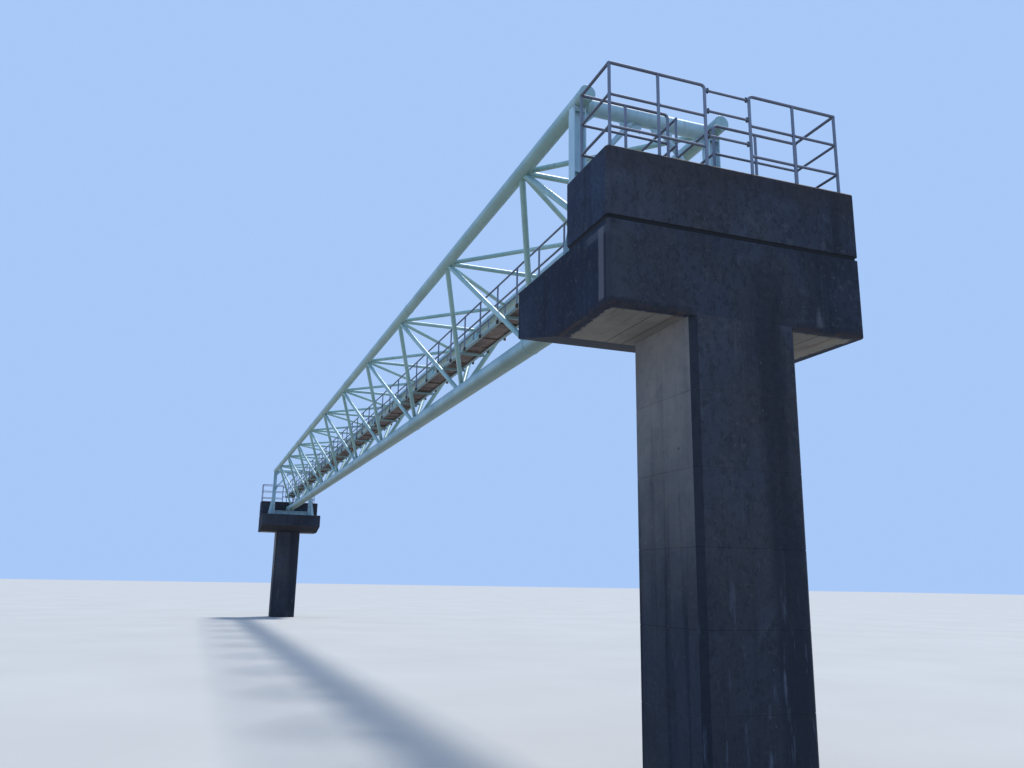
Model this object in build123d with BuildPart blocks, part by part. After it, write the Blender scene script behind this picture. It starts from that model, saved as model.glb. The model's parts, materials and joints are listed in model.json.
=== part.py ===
from build123d import *
import os

os.makedirs("parts", exist_ok=True)

# Pipe bridge between two concrete piers, as a 1:2 scale model.
# Every length below is a length of the model in millimetres: half of the real one.
# X runs along the bridge from the near pier (-X) to the far pier (+X), +Y is the
# left side when looking along +X, Z is up, and the ground is at Z = 0.

# ---- overall ----------------------------------------------------------------
half_length = 13085.0        # middle of the bridge to the outer face of a pier
frame_depth = 1140.0         # outer face of a pier to the plane of its portal frame
panel = 2389.0               # one panel of the truss
panel_count = 10

# ---- concrete piers -----------------------------------------------------------
pier_width = 1840.0
pier_chamfer = 20.0          # upright corners of the cap and the block
column_depth = 735.0
column_width = 752.0
column_y = -5.0              # the column stands a little off the middle of the cap
column_height = 2730.0       # under the level part of the cap's soffit
column_chamfer = 38.0
cap_height = 531.0           # at the outer face
cap_depth = 1469.0
cap_back_height = 353.0      # at the inner face, above the sloping soffit
soffit_depth = column_depth  # the soffit slopes up behind the column
block_depth = 597.0
block_height = 470.0
joint_height = 26.0          # shadow joint between the cap and the block
joint_depth = 10.0
ledge_z = column_height + cap_height            # seat of the portal frame
platform_z = ledge_z + block_height             # top of the upper block

# ---- chords and main pipe -------------------------------------------------------
truss_y = 0.0                # middle plane of truss, pipe and walkway
chord_y = 579.0              # from the middle plane
chord_z = platform_z + 979.0
chord_radius = 61.5
chord_end_depth = 969.0      # the chords stop this far from the outer face
pipe_z = platform_z - 232.0
pipe_radius = 97.0
web_radius = 28.5            # web tubes
bar_radius = 25.0            # bracing tubes
foot_gap = 30.0              # half of the gap between two web feet at a lower node

# ---- portal frames --------------------------------------------------------------
post_y = 586.0               # from the middle plane
post_size = 100.0
post_flange = 8.0
post_web = 6.0
base_thickness = 12.0
base_inner_y = 496.0
base_outer_y = 751.0
base_half_length = 100.0
wedge_height = 500.0
wedge_width = 100.0
beam_radius = 62.5
beam_z = platform_z + 972.0
sill_height = 120.0
sill_width = 100.0
sill_flange = 8.0
knee_radius = 22.5
knee_low_z = platform_z + 415.0
knee_high_y = 100.0
saddle_width = 60.0
saddle_ring = 10.0

# ---- walkway --------------------------------------------------------------------
deck_start_depth = 450.0
deck_half_width = 139.0      # outer faces of the edge angles
stringer_leg = 6.0
stringer_height = 30.0
stringer_flange = 36.0
stringer_z = platform_z + 175.0
deck_z = stringer_z + 20.0
deck_thickness = 6.0
rib_pitch = 610.0
bearer_height = 24.0
bearer_width = 30.0
rail_radius = 10.0
walk_rail_y = 150.0
walk_rail_z = platform_z + 580.0
walk_mid_z = platform_z + 380.0
walk_post_depth = 466.0      # first post of each handrail
walk_bay_depth = 1185.0      # second post, after a longer first bay
walk_bay_count = 40
post_foot = (28.0, 22.0, 42.0)
post_foot_z = stringer_z - 22.0
trestle_depth = 510.0

# ---- platform guards --------------------------------------------------------------
guard_front_depth = 25.0
guard_back_depth = 425.0
guard_left_y = 885.0
guard_right_y = -815.0
guard_radius = 11.0
guard_top_z = platform_z + 568.0
guard_mid_z = platform_z + 353.0
guard_low_z = platform_z + 138.0
guard_bend = 28.0
gap_left_y = 205.0           # access gap in the outer guard
gap_right_y = -133.0
entry_left_y = 240.0         # gap from the platform to the walkway
entry_right_y = -124.0
access_bar_z = (platform_z + 535.0, platform_z + 391.0, platform_z + 217.0)
access_bar_radius = 9.0
pin_radius = 10.0
pin_height = 30.0

span_start = -half_length + frame_depth


def node_x(t):
    """X of a point t panels along the truss."""
    return span_start + t * panel


# =============================== concrete piers ====================================
for end, sx in (("near", -1.0), ("far", 1.0)):
    outer = sx * half_length

    def at(depth):
        """X of a point this far behind the pier's outer face."""
        return sx * (half_length - depth)

    cap_profile = [
        (at(0), column_height),
        (at(soffit_depth), column_height),
        (at(cap_depth), ledge_z - cap_back_height),
        (at(cap_depth), ledge_z),
        (at(0), ledge_z),
    ]

    with BuildPart() as column:
        with BuildSketch(Plane.XY):
            with Locations(((at(0) + at(column_depth)) / 2, column_y)):
                Rectangle(column_depth, column_width)
            chamfer(vertices(), length=column_chamfer)
        extrude(amount=column_height)
    column.part.label = f"{end}_column"
    export_step(column.part, f"parts/{end}_column.step")

    with BuildPart() as cap:
        with BuildSketch(Plane.XZ):
            with BuildLine():
                Polyline(*cap_profile, close=True)
            make_face()
        extrude(amount=pier_width / 2, both=True)
        chamfer(cap.edges().filter_by(Axis.Z), length=pier_chamfer)
    cap.part.label = f"{end}_cap"
    export_step(cap.part, f"parts/{end}_cap.step")

    with BuildPart() as block:
        # a narrower neck leaves the shadow joint above the cap
        with BuildSketch(Plane.XY.offset(ledge_z)):
            with Locations(((at(0) + at(block_depth)) / 2, 0)):
                Rectangle(block_depth - 2 * joint_depth, pier_width - 2 * joint_depth)
            chamfer(vertices(), length=pier_chamfer)
        extrude(amount=joint_height)
        with BuildSketch(Plane.XY.offset(ledge_z + joint_height)):
            with Locations(((at(0) + at(block_depth)) / 2, 0)):
                Rectangle(block_depth, pier_width)
            chamfer(vertices(), length=pier_chamfer)
        extrude(amount=block_height - joint_height)
    block.part.label = f"{end}_block"
    export_step(block.part, f"parts/{end}_block.step")

    # ============================ portal frame =====================================
    xf = at(frame_depth)

    for side, sy in (("left", 1.0), ("right", -1.0)):
        with BuildPart() as post:
            # base plate on the ledge
            with BuildSketch(Plane.XY.offset(ledge_z)):
                with Locations((xf, truss_y + sy * (base_inner_y + base_outer_y) / 2)):
                    Rectangle(2 * base_half_length, base_outer_y - base_inner_y)
            extrude(amount=base_thickness)
            # wide-flange post, flanges facing along Y
            with BuildSketch(Plane.XY.offset(ledge_z + base_thickness)):
                with Locations((xf, truss_y + sy * post_y)):
                    Rectangle(post_web, post_size)
                with Locations(
                    (xf, truss_y + sy * (post_y - post_size / 2 + post_flange / 2)),
                    (xf, truss_y + sy * (post_y + post_size / 2 - post_flange / 2)),
                ):
                    Rectangle(post_size, post_flange)
            extrude(amount=chord_z - ledge_z - base_thickness)
            # tapering outer gusset
            with BuildSketch(Plane.YZ.offset(xf)):
                with BuildLine():
                    Polyline(
                        (truss_y + sy * (post_y + post_size / 2), ledge_z + base_thickness),
                        (truss_y + sy * (post_y + post_size / 2 + wedge_width), ledge_z + base_thickness),
                        (truss_y + sy * (post_y + post_size / 2), ledge_z + base_thickness + wedge_height),
                        close=True,
                    )
                make_face()
            extrude(amount=post_web / 2, both=True)
            # seat cut by the chord
            with BuildSketch(Plane.YZ.offset(xf)):
                with Locations((truss_y + sy * chord_y, chord_z)):
                    Circle(chord_radius)
            extrude(amount=post_size, both=True, mode=Mode.SUBTRACT)
            with BuildSketch(Plane.XY.offset(chord_z - 30.0)):
                with Locations((xf, truss_y + sy * chord_y)):
                    Rectangle(4 * post_size, 4 * post_size)
            extrude(amount=200.0, mode=Mode.SUBTRACT)
        post.part.label = f"{end}_post_{side}"
        export_step(post.part, f"parts/{end}_post_{side}.step")

    beam_end_y = post_y - post_size / 2
    with BuildPart() as crossbeam:
        with BuildSketch(Plane.XZ.offset(-truss_y)):
            with Locations((xf, beam_z)):
                Circle(beam_radius)
        extrude(amount=beam_end_y, both=True)
        with BuildSketch(Plane.YZ.offset(xf)):
            with Locations((truss_y + chord_y, chord_z), (truss_y - chord_y, chord_z)):
                Circle(chord_radius)
        extrude(amount=2 * beam_radius, both=True, mode=Mode.SUBTRACT)
    crossbeam.part.label = f"{end}_crossbeam"
    export_step(crossbeam.part, f"parts/{end}_crossbeam.step")

    sill_z = ledge_z + base_thickness
    with BuildPart() as sill:
        with BuildSketch(Plane.XZ.offset(-truss_y)):
            with Locations((xf, sill_z + sill_height / 2)):
                Rectangle(post_web, sill_height)
            with Locations((xf, sill_z + sill_flange / 2), (xf, sill_z + sill_height - sill_flange / 2)):
                Rectangle(sill_width, sill_flange)
        extrude(amount=beam_end_y, both=True)
    sill.part.label = f"{end}_sill"
    export_step(sill.part, f"parts/{end}_sill.step")

    with BuildPart() as knees:
        for sy in (1.0, -1.0):
            low = Vector(xf, truss_y + sy * (beam_end_y + 20.0), knee_low_z - 20.0)
            high = Vector(xf, truss_y + sy * knee_high_y, beam_z - 20.0)
            run = high - low
            with BuildSketch(Plane(origin=low, x_dir=(1, 0, 0), z_dir=run)):
                Circle(knee_radius)
            extrude(amount=run.length)
        with BuildSketch(Plane.XZ.offset(-truss_y)):
            with Locations((xf, beam_z)):
                Circle(beam_radius)
        extrude(amount=beam_end_y, both=True, mode=Mode.SUBTRACT)
        for sy in (1.0, -1.0):
            with BuildSketch(Plane.XY.offset(ledge_z)):
                with Locations((xf, truss_y + sy * (beam_end_y + 50.0))):
                    Rectangle(200.0, 100.0)
            extrude(amount=1500.0, mode=Mode.SUBTRACT)
    knees.part.label = f"{end}_knee_braces"
    export_step(knees.part, f"parts/{end}_knee_braces.step")

    with BuildPart() as saddle:
        with BuildSketch(Plane.YZ.offset(xf)):
            with Locations((truss_y, pipe_z)):
                Circle(pipe_radius + saddle_ring)
            with Locations((truss_y, (sill_z + sill_height + pipe_z) / 2)):
                Rectangle(150.0, pipe_z - sill_z - sill_height)
            with Locations((truss_y, pipe_z)):
                Circle(pipe_radius, mode=Mode.SUBTRACT)
        extrude(amount=saddle_width / 2, both=True)
        # nothing below the top of the sill
        with BuildSketch(Plane.XY.offset(sill_z)):
            with Locations((xf, truss_y)):
                Rectangle(200.0, 400.0)
        extrude(amount=sill_height, mode=Mode.SUBTRACT)
    saddle.part.label = f"{end}_pipe_saddle"
    export_step(saddle.part, f"parts/{end}_pipe_saddle.step")

    # ============================ platform guards ==================================
    # end runs: a corner post, a middle post, and a top rail that bends down into
    # the last post beside the gap
    for name, depth, corner_y, gap_y in (
        ("front_left", guard_front_depth, guard_left_y, gap_left_y),
        ("front_right", guard_front_depth, guard_right_y, gap_right_y),
        ("back_left", guard_back_depth, guard_left_y, entry_left_y),
        ("back_right", guard_back_depth, guard_right_y, entry_right_y),
    ):
        xg = at(depth)
        middle_y = (corner_y + gap_y) / 2
        with BuildPart() as guard:
            with BuildLine() as rail_path:
                FilletPolyline(
                    (xg, corner_y, guard_top_z),
                    (xg, gap_y, guard_top_z),
                    (xg, gap_y, platform_z),
                    radius=guard_bend,
                )
            with BuildSketch(Plane(origin=(xg, corner_y, guard_top_z), z_dir=(0, gap_y - corner_y, 0))):
                Circle(guard_radius)
            sweep(path=rail_path.wires()[0])
            with BuildSketch(Plane.XY.offset(platform_z)):
                with Locations((xg, corner_y), (xg, middle_y)):
                    Circle(guard_radius)
            extrude(amount=guard_top_z - platform_z)
            with BuildSketch(Plane.XZ):
                with Locations((xg, guard_mid_z), (xg, guard_low_z)):
                    Circle(rail_radius)
            extrude(amount=-corner_y)
            # cut away the part of the lower rails inside the gap
            with BuildSketch(Plane.XZ):
                with Locations((xg, (guard_mid_z + guard_low_z) / 2)):
                    Rectangle(60.0, guard_mid_z - guard_low_z + 60.0)
            extrude(amount=-gap_y, mode=Mode.SUBTRACT)
            # the last post again, where the cut passed its middle
            with BuildSketch(Plane.XY.offset(platform_z)):
                with Locations((xg, gap_y)):
                    Circle(guard_radius)
            extrude(amount=guard_top_z - guard_bend - platform_z)
        guard.part.label = f"{end}_guard_{name}"
        export_step(guard.part, f"parts/{end}_guard_{name}.step")

    # side runs: three rails between the corner posts
    for name, yg in (("left", guard_left_y), ("right", guard_right_y)):
        x0, x1 = sorted((at(guard_front_depth), at(guard_back_depth)))
        with BuildPart() as guard_side:
            with BuildSketch(Plane.YZ.offset(x0)):
                with Locations((yg, guard_top_z), (yg, guard_mid_z), (yg, guard_low_z)):
                    Circle(rail_radius)
            extrude(amount=x1 - x0)
            with BuildSketch(Plane.XY.offset(platform_z)):
                with Locations((x0, yg), (x1, yg)):
                    Circle(guard_radius)
            extrude(amount=2 * (guard_top_z - platform_z), mode=Mode.SUBTRACT)
            # the rails of the end runs pass the corners
            with BuildSketch(Plane.XZ):
                for x in (x0, x1):
                    with Locations((x, guard_top_z), (x, guard_mid_z), (x, guard_low_z)):
                        Circle(guard_radius)
            extrude(amount=half_length, both=True, mode=Mode.SUBTRACT)
        guard_side.part.label = f"{end}_guard_{name}"
        export_step(guard_side.part, f"parts/{end}_guard_{name}.step")

    # three straight bars closing the access gap, each with a pin at both ends
    xg = at(guard_front_depth)
    with BuildPart() as access_bars:
        with BuildSketch(Plane.XZ):
            with Locations(*[(xg, z) for z in access_bar_z]):
                Circle(access_bar_radius)
        extrude(amount=-gap_left_y)
        with BuildSketch(Plane.XZ):
            with Locations(*[(xg, z) for z in access_bar_z]):
                Circle(access_bar_radius)
        extrude(amount=-gap_right_y)
        for z in access_bar_z:
            with BuildSketch(Plane.XY.offset(z - pin_height / 2)):
                with Locations((xg, gap_left_y - 22.0), (xg, gap_right_y + 22.0)):
                    Circle(pin_radius)
            extrude(amount=pin_height)
        with BuildSketch(Plane.XY.offset(platform_z)):
            with Locations((xg, gap_left_y), (xg, gap_right_y)):
                Circle(guard_radius)
        extrude(amount=600.0, mode=Mode.SUBTRACT)
    access_bars.part.label = f"{end}_access_bars"
    export_step(access_bars.part, f"parts/{end}_access_bars.step")

# ================================ chords and pipe ===================================
chord_start = -half_length + chord_end_depth
for side, sy in (("left", 1.0), ("right", -1.0)):
    with BuildPart() as chord:
        with BuildSketch(Plane.YZ.offset(chord_start)):
            with Locations((truss_y + sy * chord_y, chord_z)):
                Circle(chord_radius)
        extrude(amount=-2 * chord_start)
    chord.part.label = f"top_chord_{side}"
    export_step(chord.part, f"parts/top_chord_{side}.step")

pipe_start = -half_length + block_depth
with BuildPart() as main_pipe:
    with BuildSketch(Plane.YZ.offset(pipe_start)):
        with Locations((truss_y, pipe_z)):
            Circle(pipe_radius)
    extrude(amount=-2 * pipe_start)
main_pipe.part.label = "main_pipe"
export_step(main_pipe.part, "parts/main_pipe.step")

# ================================ web tubes =========================================
# each upper node sits at half a panel, and two tubes fall from it to the main pipe
for side, sy in (("left", 1.0), ("right", -1.0)):
    with BuildPart() as web:
        for k in range(panel_count):
            top = Vector(node_x(k + 0.5), truss_y + sy * chord_y, chord_z)
            for foot_x in (node_x(k) + foot_gap, node_x(k + 1) - foot_gap):
                foot = Vector(foot_x, truss_y, pipe_z)
                run = foot - top
                with BuildSketch(Plane(origin=top, x_dir=(0, 1, 0), z_dir=run)):
                    RegularPolygon(web_radius, side_count=8)
                extrude(amount=run.length)
        with BuildSketch(Plane.YZ.offset(-half_length)):
            with Locations((truss_y + sy * chord_y, chord_z)):
                Circle(chord_radius)
            with Locations((truss_y, pipe_z)):
                Circle(pipe_radius)
        extrude(amount=2 * half_length, mode=Mode.SUBTRACT)
    web.part.label = f"web_{side}"
    export_step(web.part, f"parts/web_{side}.step")

# ================================ top bracing =======================================
# a straight strut at each upper node, and two diagonals from its left end to the
# right chord half a panel before and after it
with BuildPart() as bracing:
    for k in range(panel_count):
        left = Vector(node_x(k + 0.5), truss_y + chord_y, chord_z)
        for t in (k, k + 0.5, k + 1):
            right = Vector(node_x(t), truss_y - chord_y, chord_z)
            run = right - left
            with BuildSketch(Plane(origin=left, x_dir=(0, 0, 1), z_dir=run)):
                RegularPolygon(bar_radius, side_count=8)
            extrude(amount=run.length)
    with BuildSketch(Plane.YZ.offset(-half_length)):
        with Locations((truss_y + chord_y, chord_z), (truss_y - chord_y, chord_z)):
            Circle(chord_radius)
    extrude(amount=2 * half_length, mode=Mode.SUBTRACT)
    with BuildSketch(Plane.XZ.offset(-truss_y)):
        with Locations((span_start, beam_z), (-span_start, beam_z)):
            Circle(beam_radius)
    extrude(amount=post_y - post_size / 2, both=True, mode=Mode.SUBTRACT)
bracing.part.label = "top_bracing"
export_step(bracing.part, "parts/top_bracing.step")

# ================================ walkway ===========================================
deck_start = -half_length + deck_start_depth
deck_length = -2 * deck_start

for side, sy in (("left", 1.0), ("right", -1.0)):
    with BuildPart() as stringer:
        with BuildSketch(Plane.YZ.offset(deck_start)):
            with Locations((truss_y + sy * (deck_half_width - stringer_leg / 2), stringer_z + stringer_height / 2)):
                Rectangle(stringer_leg, stringer_height)
            with Locations((truss_y + sy * (deck_half_width - stringer_flange / 2), stringer_z + stringer_leg / 2)):
                Rectangle(stringer_flange, stringer_leg)
        extrude(amount=deck_length)
    stringer.part.label = f"walkway_stringer_{side}"
    export_step(stringer.part, f"parts/walkway_stringer_{side}.step")

# the plate lies between the upright legs, on ribs that rest on the lower legs
plate_width = 2 * (deck_half_width - stringer_leg)
rib_count = int(deck_length // rib_pitch) + 1
rib_start = -(rib_count - 1) * rib_pitch / 2
with BuildPart() as deck:
    with BuildSketch(Plane.XY.offset(deck_z)):
        with Locations((0, truss_y)):
            Rectangle(deck_length, plate_width)
    extrude(amount=deck_thickness)
    with BuildSketch(Plane.XY.offset(stringer_z + stringer_leg)):
        with Locations(*[(rib_start + i * rib_pitch, truss_y) for i in range(rib_count)]):
            Rectangle(8.0, plate_width)
    extrude(amount=deck_z - stringer_z - stringer_leg)
deck.part.label = "walkway_deck"
export_step(deck.part, "parts/walkway_deck.step")

bearer_level = stringer_z - bearer_height
bearer_fall = (chord_z - stringer_z + bearer_height / 2) / (chord_z - pipe_z)
bearer_x = []
for k in range(panel_count):
    for foot_x in (node_x(k) + foot_gap, node_x(k + 1) - foot_gap):
        bearer_x.append(node_x(k + 0.5) + (foot_x - node_x(k + 0.5)) * bearer_fall)

post_start = -half_length + walk_post_depth
bay_start = -half_length + walk_bay_depth
bay_pitch = -2 * bay_start / walk_bay_count
post_x = [post_start] + [bay_start + i * bay_pitch for i in range(walk_bay_count + 1)] + [-post_start]
for side, sy in (("left", 1.0), ("right", -1.0)):
    with BuildPart() as rail:
        with BuildSketch(Plane.YZ.offset(post_start)):
            with Locations((truss_y + sy * walk_rail_y, walk_rail_z), (truss_y + sy * walk_rail_y, walk_mid_z)):
                RegularPolygon(rail_radius, side_count=8)
        extrude(amount=-2 * post_start)
        with BuildSketch(Plane.XY.offset(post_foot_z)):
            with Locations(*[(x, truss_y + sy * walk_rail_y) for x in post_x]):
                Rectangle(2 * rail_radius, 2 * rail_radius)
        extrude(amount=walk_rail_z - post_foot_z)
        # clamp at the foot of each post, against the edge angle
        with BuildSketch(Plane.XY.offset(post_foot_z)):
            with Locations(*[(x, truss_y + sy * walk_rail_y) for x in post_x]):
                Rectangle(post_foot[0], post_foot[1])
        extrude(amount=post_foot[2])
        # a foot that meets a cross bearer sits on it, and one beside a web tube is cut to it
        with BuildSketch(Plane.XY.offset(bearer_level)):
            with Locations(*[(x, truss_y) for x in bearer_x]):
                Rectangle(bearer_width, 400.0)
        extrude(amount=bearer_height, mode=Mode.SUBTRACT)
        for k in range(panel_count):
            top = Vector(node_x(k + 0.5), truss_y + sy * chord_y, chord_z)
            for foot_x in (node_x(k) + foot_gap, node_x(k + 1) - foot_gap):
                run = Vector(foot_x, truss_y, pipe_z) - top
                with BuildSketch(Plane(origin=top, x_dir=(0, 1, 0), z_dir=run)):
                    RegularPolygon(web_radius, side_count=8)
                extrude(amount=run.length, mode=Mode.SUBTRACT)
    rail.part.label = f"walkway_rail_{side}"
    export_step(rail.part, f"parts/walkway_rail_{side}.step")

# cross bearers under the deck, each between a left and a right web tube
with BuildPart() as bearers:
    with BuildSketch(Plane.XY.offset(bearer_level)):
        with Locations(*[(x, truss_y) for x in bearer_x]):
            Rectangle(bearer_width, 400.0)
    extrude(amount=bearer_height)
    # the ends are cut to the web tubes
    for sy in (1.0, -1.0):
        for k in range(panel_count):
            top = Vector(node_x(k + 0.5), truss_y + sy * chord_y, chord_z)
            for foot_x in (node_x(k) + foot_gap, node_x(k + 1) - foot_gap):
                run = Vector(foot_x, truss_y, pipe_z) - top
                with BuildSketch(Plane(origin=top, x_dir=(0, 1, 0), z_dir=run)):
                    RegularPolygon(web_radius, side_count=8)
                extrude(amount=run.length, mode=Mode.SUBTRACT)
    # nothing stays outside the tubes' centre lines
    with BuildSketch(Plane.XY.offset(bearer_level)):
        outer_y = chord_y * (bearer_level - pipe_z) / (chord_z - pipe_z)
        with Locations((0, truss_y + outer_y + 50.0), (0, truss_y - outer_y - 50.0)):
            Rectangle(2 * half_length, 100.0)
    extrude(amount=bearer_height, mode=Mode.SUBTRACT)
bearers.part.label = "walkway_bearers"
export_step(bearers.part, "parts/walkway_bearers.step")

# trestles that carry the walkway's ends on the two upper blocks
with BuildPart() as trestles:
    for sx in (-1.0, 1.0):
        xt = sx * (half_length - trestle_depth)
        with BuildSketch(Plane.XY.offset(platform_z)):
            with Locations((xt, truss_y + 115.0), (xt, truss_y - 115.0)):
                Rectangle(30.0, 24.0)
        extrude(amount=bearer_level - platform_z)
        with BuildSketch(Plane.XY.offset(bearer_level)):
            with Locations((xt, truss_y)):
                Rectangle(bearer_width, 2 * deck_half_width)
        extrude(amount=bearer_height)
trestles.part.label = "walkway_end_trestles"
export_step(trestles.part, "parts/walkway_end_trestles.step")
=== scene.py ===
import json
import math
import random

import bmesh
import bpy
from mathutils import Matrix, Vector


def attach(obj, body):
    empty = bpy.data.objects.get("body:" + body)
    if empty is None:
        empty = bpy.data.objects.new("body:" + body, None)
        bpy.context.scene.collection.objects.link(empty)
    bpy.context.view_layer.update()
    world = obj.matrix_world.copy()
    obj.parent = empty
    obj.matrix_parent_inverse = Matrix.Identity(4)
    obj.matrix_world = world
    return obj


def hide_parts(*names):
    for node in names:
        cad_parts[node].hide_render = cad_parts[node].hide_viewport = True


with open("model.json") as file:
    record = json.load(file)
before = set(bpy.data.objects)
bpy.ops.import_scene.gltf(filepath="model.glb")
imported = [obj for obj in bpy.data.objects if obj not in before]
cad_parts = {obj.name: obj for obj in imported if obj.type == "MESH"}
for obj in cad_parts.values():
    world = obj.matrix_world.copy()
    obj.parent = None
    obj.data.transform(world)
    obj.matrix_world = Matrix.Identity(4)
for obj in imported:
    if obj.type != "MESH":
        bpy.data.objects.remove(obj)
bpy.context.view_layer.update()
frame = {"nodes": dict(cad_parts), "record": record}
random.seed(41)

# ------------------------------------------------------------------ dimensions (metres)
HALF = 13.085
XF = HALF - 1.140
PANEL = 2.389
PANELS = 10
CHORD_Y, CHORD_Z, CHORD_R = 0.579, 4.710, 0.0615
CHORD_END = HALF - 0.969
PIPE_Z, PIPE_R = 3.499, 0.097
WEB_R = 0.0285
BAR_R = 0.025
FOOT = 0.030
LEDGE = 3.261
PLAT = 3.731
COL_H = 2.730
COL_D, COL_W, COL_Y = 0.735, 0.376, -0.005
CAP_D, CAP_BACK, KINK = 1.469, 0.353, 0.735
BLOCK_D = 0.597
WIDE = 0.920
JOINT_H, JOINT_D = 0.026, 0.010
BEAM_Z, BEAM_R = 4.703, 0.0625
POST_Y, POST_S = 0.586, 0.100
STR_Z = 3.906
DECK_Z = 3.926


def node_x(t):
    return -XF + t * PANEL


# ------------------------------------------------------------------ mesh building
class Build:
    """Collects faces of one piece."""

    def __init__(self):
        self.v, self.f, self.m, self.s = [], [], [], []

    def add(self, verts, faces, mat=0, smooth=True):
        base = len(self.v)
        self.v.extend((float(p[0]), float(p[1]), float(p[2])) for p in verts)
        for f in faces:
            self.f.append(tuple(i + base for i in f))
            self.m.append(mat)
            self.s.append(smooth)

    def piece(self, name, mats, slot=None, replaces=(), sharp=38):
        me = bpy.data.meshes.new(name)
        me.from_pydata(self.v, [], self.f)
        me.update()
        bm = bmesh.new()
        bm.from_mesh(me)
        bmesh.ops.recalc_face_normals(bm, faces=bm.faces)
        bm.to_mesh(me)
        bm.free()
        for m in mats:
            me.materials.append(m)
        me.polygons.foreach_set("material_index", self.m)
        me.polygons.foreach_set("use_smooth", self.s)
        me.set_sharp_from_angle(angle=math.radians(sharp))
        me.update()
        o = bpy.data.objects.new(name, me)
        bpy.context.scene.collection.objects.link(o)
        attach(o, "root")
        if replaces:
            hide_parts(*replaces)
        return o


def basis(d):
    d = d.normalized()
    h = Vector((0, 0, 1)) if abs(d.z) < 0.9 else Vector((1, 0, 0))
    u = d.cross(h).normalized()
    return u, d.cross(u).normalized(), d


def ring(c, u, v, r, n, turn=0.0):
    return [c + u * (r * math.cos(turn + 2 * math.pi * i / n)) + v * (r * math.sin(turn + 2 * math.pi * i / n)) for i in range(n)]


def skin(b, rings, mat=0, smooth=True, closed=False, cap0=True, cap1=True):
    n = len(rings[0])
    verts = [p for r in rings for p in r]
    faces = []
    m = len(rings)
    for j in range(m if closed else m - 1):
        k = (j + 1) % m
        for i in range(n):
            i2 = (i + 1) % n
            faces.append((j * n + i, j * n + i2, k * n + i2, k * n + i))
    if not closed and cap0:
        faces.append(tuple(range(n - 1, -1, -1)))
    if not closed and cap1:
        faces.append(tuple((m - 1) * n + i for i in range(n)))
    b.add(verts, faces, mat, smooth)


def tube(b, p, q, r, n=20, mat=0, cap=True, edge=0.0):
    """A straight round bar, its ends chamfered by edge."""
    p, q = Vector(p), Vector(q)
    u, v, d = basis(q - p)
    if edge > 0:
        rings = [ring(p, u, v, r - edge, n), ring(p + d * edge, u, v, r, n), ring(q - d * edge, u, v, r, n), ring(q, u, v, r - edge, n)]
    else:
        rings = [ring(p, u, v, r, n), ring(q, u, v, r, n)]
    skin(b, rings, mat, True, cap0=cap, cap1=cap)


def leave(y, z, rad):
    """How far a line that starts inside the round member along X runs before it leaves it."""

    def f(p, d):
        py, pz = p.y - y, p.z - z
        a = d.y * d.y + d.z * d.z
        h = py * d.y + pz * d.z
        c = py * py + pz * pz - rad * rad
        return (-h + math.sqrt(max(h * h - a * c, 0.0))) / a

    return f


def coped(b, p, q, r, cut_p, cut_q, n=20, mat=0, bead=None, bead_r=0.004):
    """A round bar between two round members, its ends cut to their surfaces, with a weld bead at each."""
    p, q = Vector(p), Vector(q)
    u, v, d = basis(q - p)
    a = [x + d * (cut_p(x, d) if cut_p else 0.0) for x in ring(p, u, v, r, n)]
    c = [x - d * (cut_q(x, -d) if cut_q else 0.0) for x in ring(q, u, v, r, n)]
    skin(b, [a, c], mat, True, cap0=not cut_p, cap1=not cut_q)
    if bead is not None:
        if cut_p:
            loop(bead, a, bead_r, (u, v, d))
        if cut_q:
            loop(bead, c, bead_r, (u, v, -d))


def loop(b, pts, r, axes=None, n=6, mat=0):
    """A closed bead along a ring of points."""
    m = len(pts)
    centre = sum(pts, Vector()) / m
    rings = []
    for i, p in enumerate(pts):
        t = (pts[(i + 1) % m] - pts[i - 1]).normalized()
        o = (p - centre)
        o = (o - t * o.dot(t)).normalized()
        w = t.cross(o)
        k = r * (1.0 + 0.18 * math.sin(i * 2.3 + p.x * 7.0))
        rings.append([p + o * (k * math.cos(2 * math.pi * j / n)) + w * (k * math.sin(2 * math.pi * j / n)) for j in range(n)])
    skin(b, rings, mat, True, closed=True)


def hoop(b, c, axis, rad, r, n=40, k=6, mat=0):
    """A round bead round a straight member."""
    u, v, d = basis(Vector(axis))
    pts = ring(Vector(c), u, v, rad, n)
    loop(b, pts, r, n=k, mat=mat)


def sweep(b, path, r, n=12, mat=0, caps=True):
    """A round bar along a path of points."""
    path = [Vector(p) for p in path]
    m = len(path)
    dirs = []
    for i in range(m):
        a = path[max(i - 1, 0)]
        c = path[min(i + 1, m - 1)]
        dirs.append((c - a).normalized())
    u, v, _ = basis(dirs[0])
    rings = []
    for i in range(m):
        if i:
            turn = dirs[i - 1].rotation_difference(dirs[i])
            u = (turn @ u)
            u = (u - dirs[i] * u.dot(dirs[i])).normalized()
            v = dirs[i].cross(u)
        rings.append(ring(path[i], u, v, r, n))
    skin(b, rings, mat, True, cap0=caps, cap1=caps)


def arc_path(points, radius, k=7):
    """A path through points with rounded corners."""
    points = [Vector(p) for p in points]
    out = [points[0]]
    for i in range(1, len(points) - 1):
        a = (points[i - 1] - points[i]).normalized()
        c = (points[i + 1] - points[i]).normalized()
        half = math.acos(max(-1.0, min(1.0, a.dot(c)))) / 2
        t = radius / math.tan(half)
        mid = (a + c).normalized()
        centre = points[i] + mid * (radius / math.sin(half))
        s = points[i] + a * t - centre
        e = points[i] + c * t - centre
        ang = s.angle(e)
        axis = s.cross(e).normalized()
        for j in range(k + 1):
            out.append(centre + Matrix.Rotation(ang * j / k, 3, axis) @ s)
    out.append(points[-1])
    return out


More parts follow.
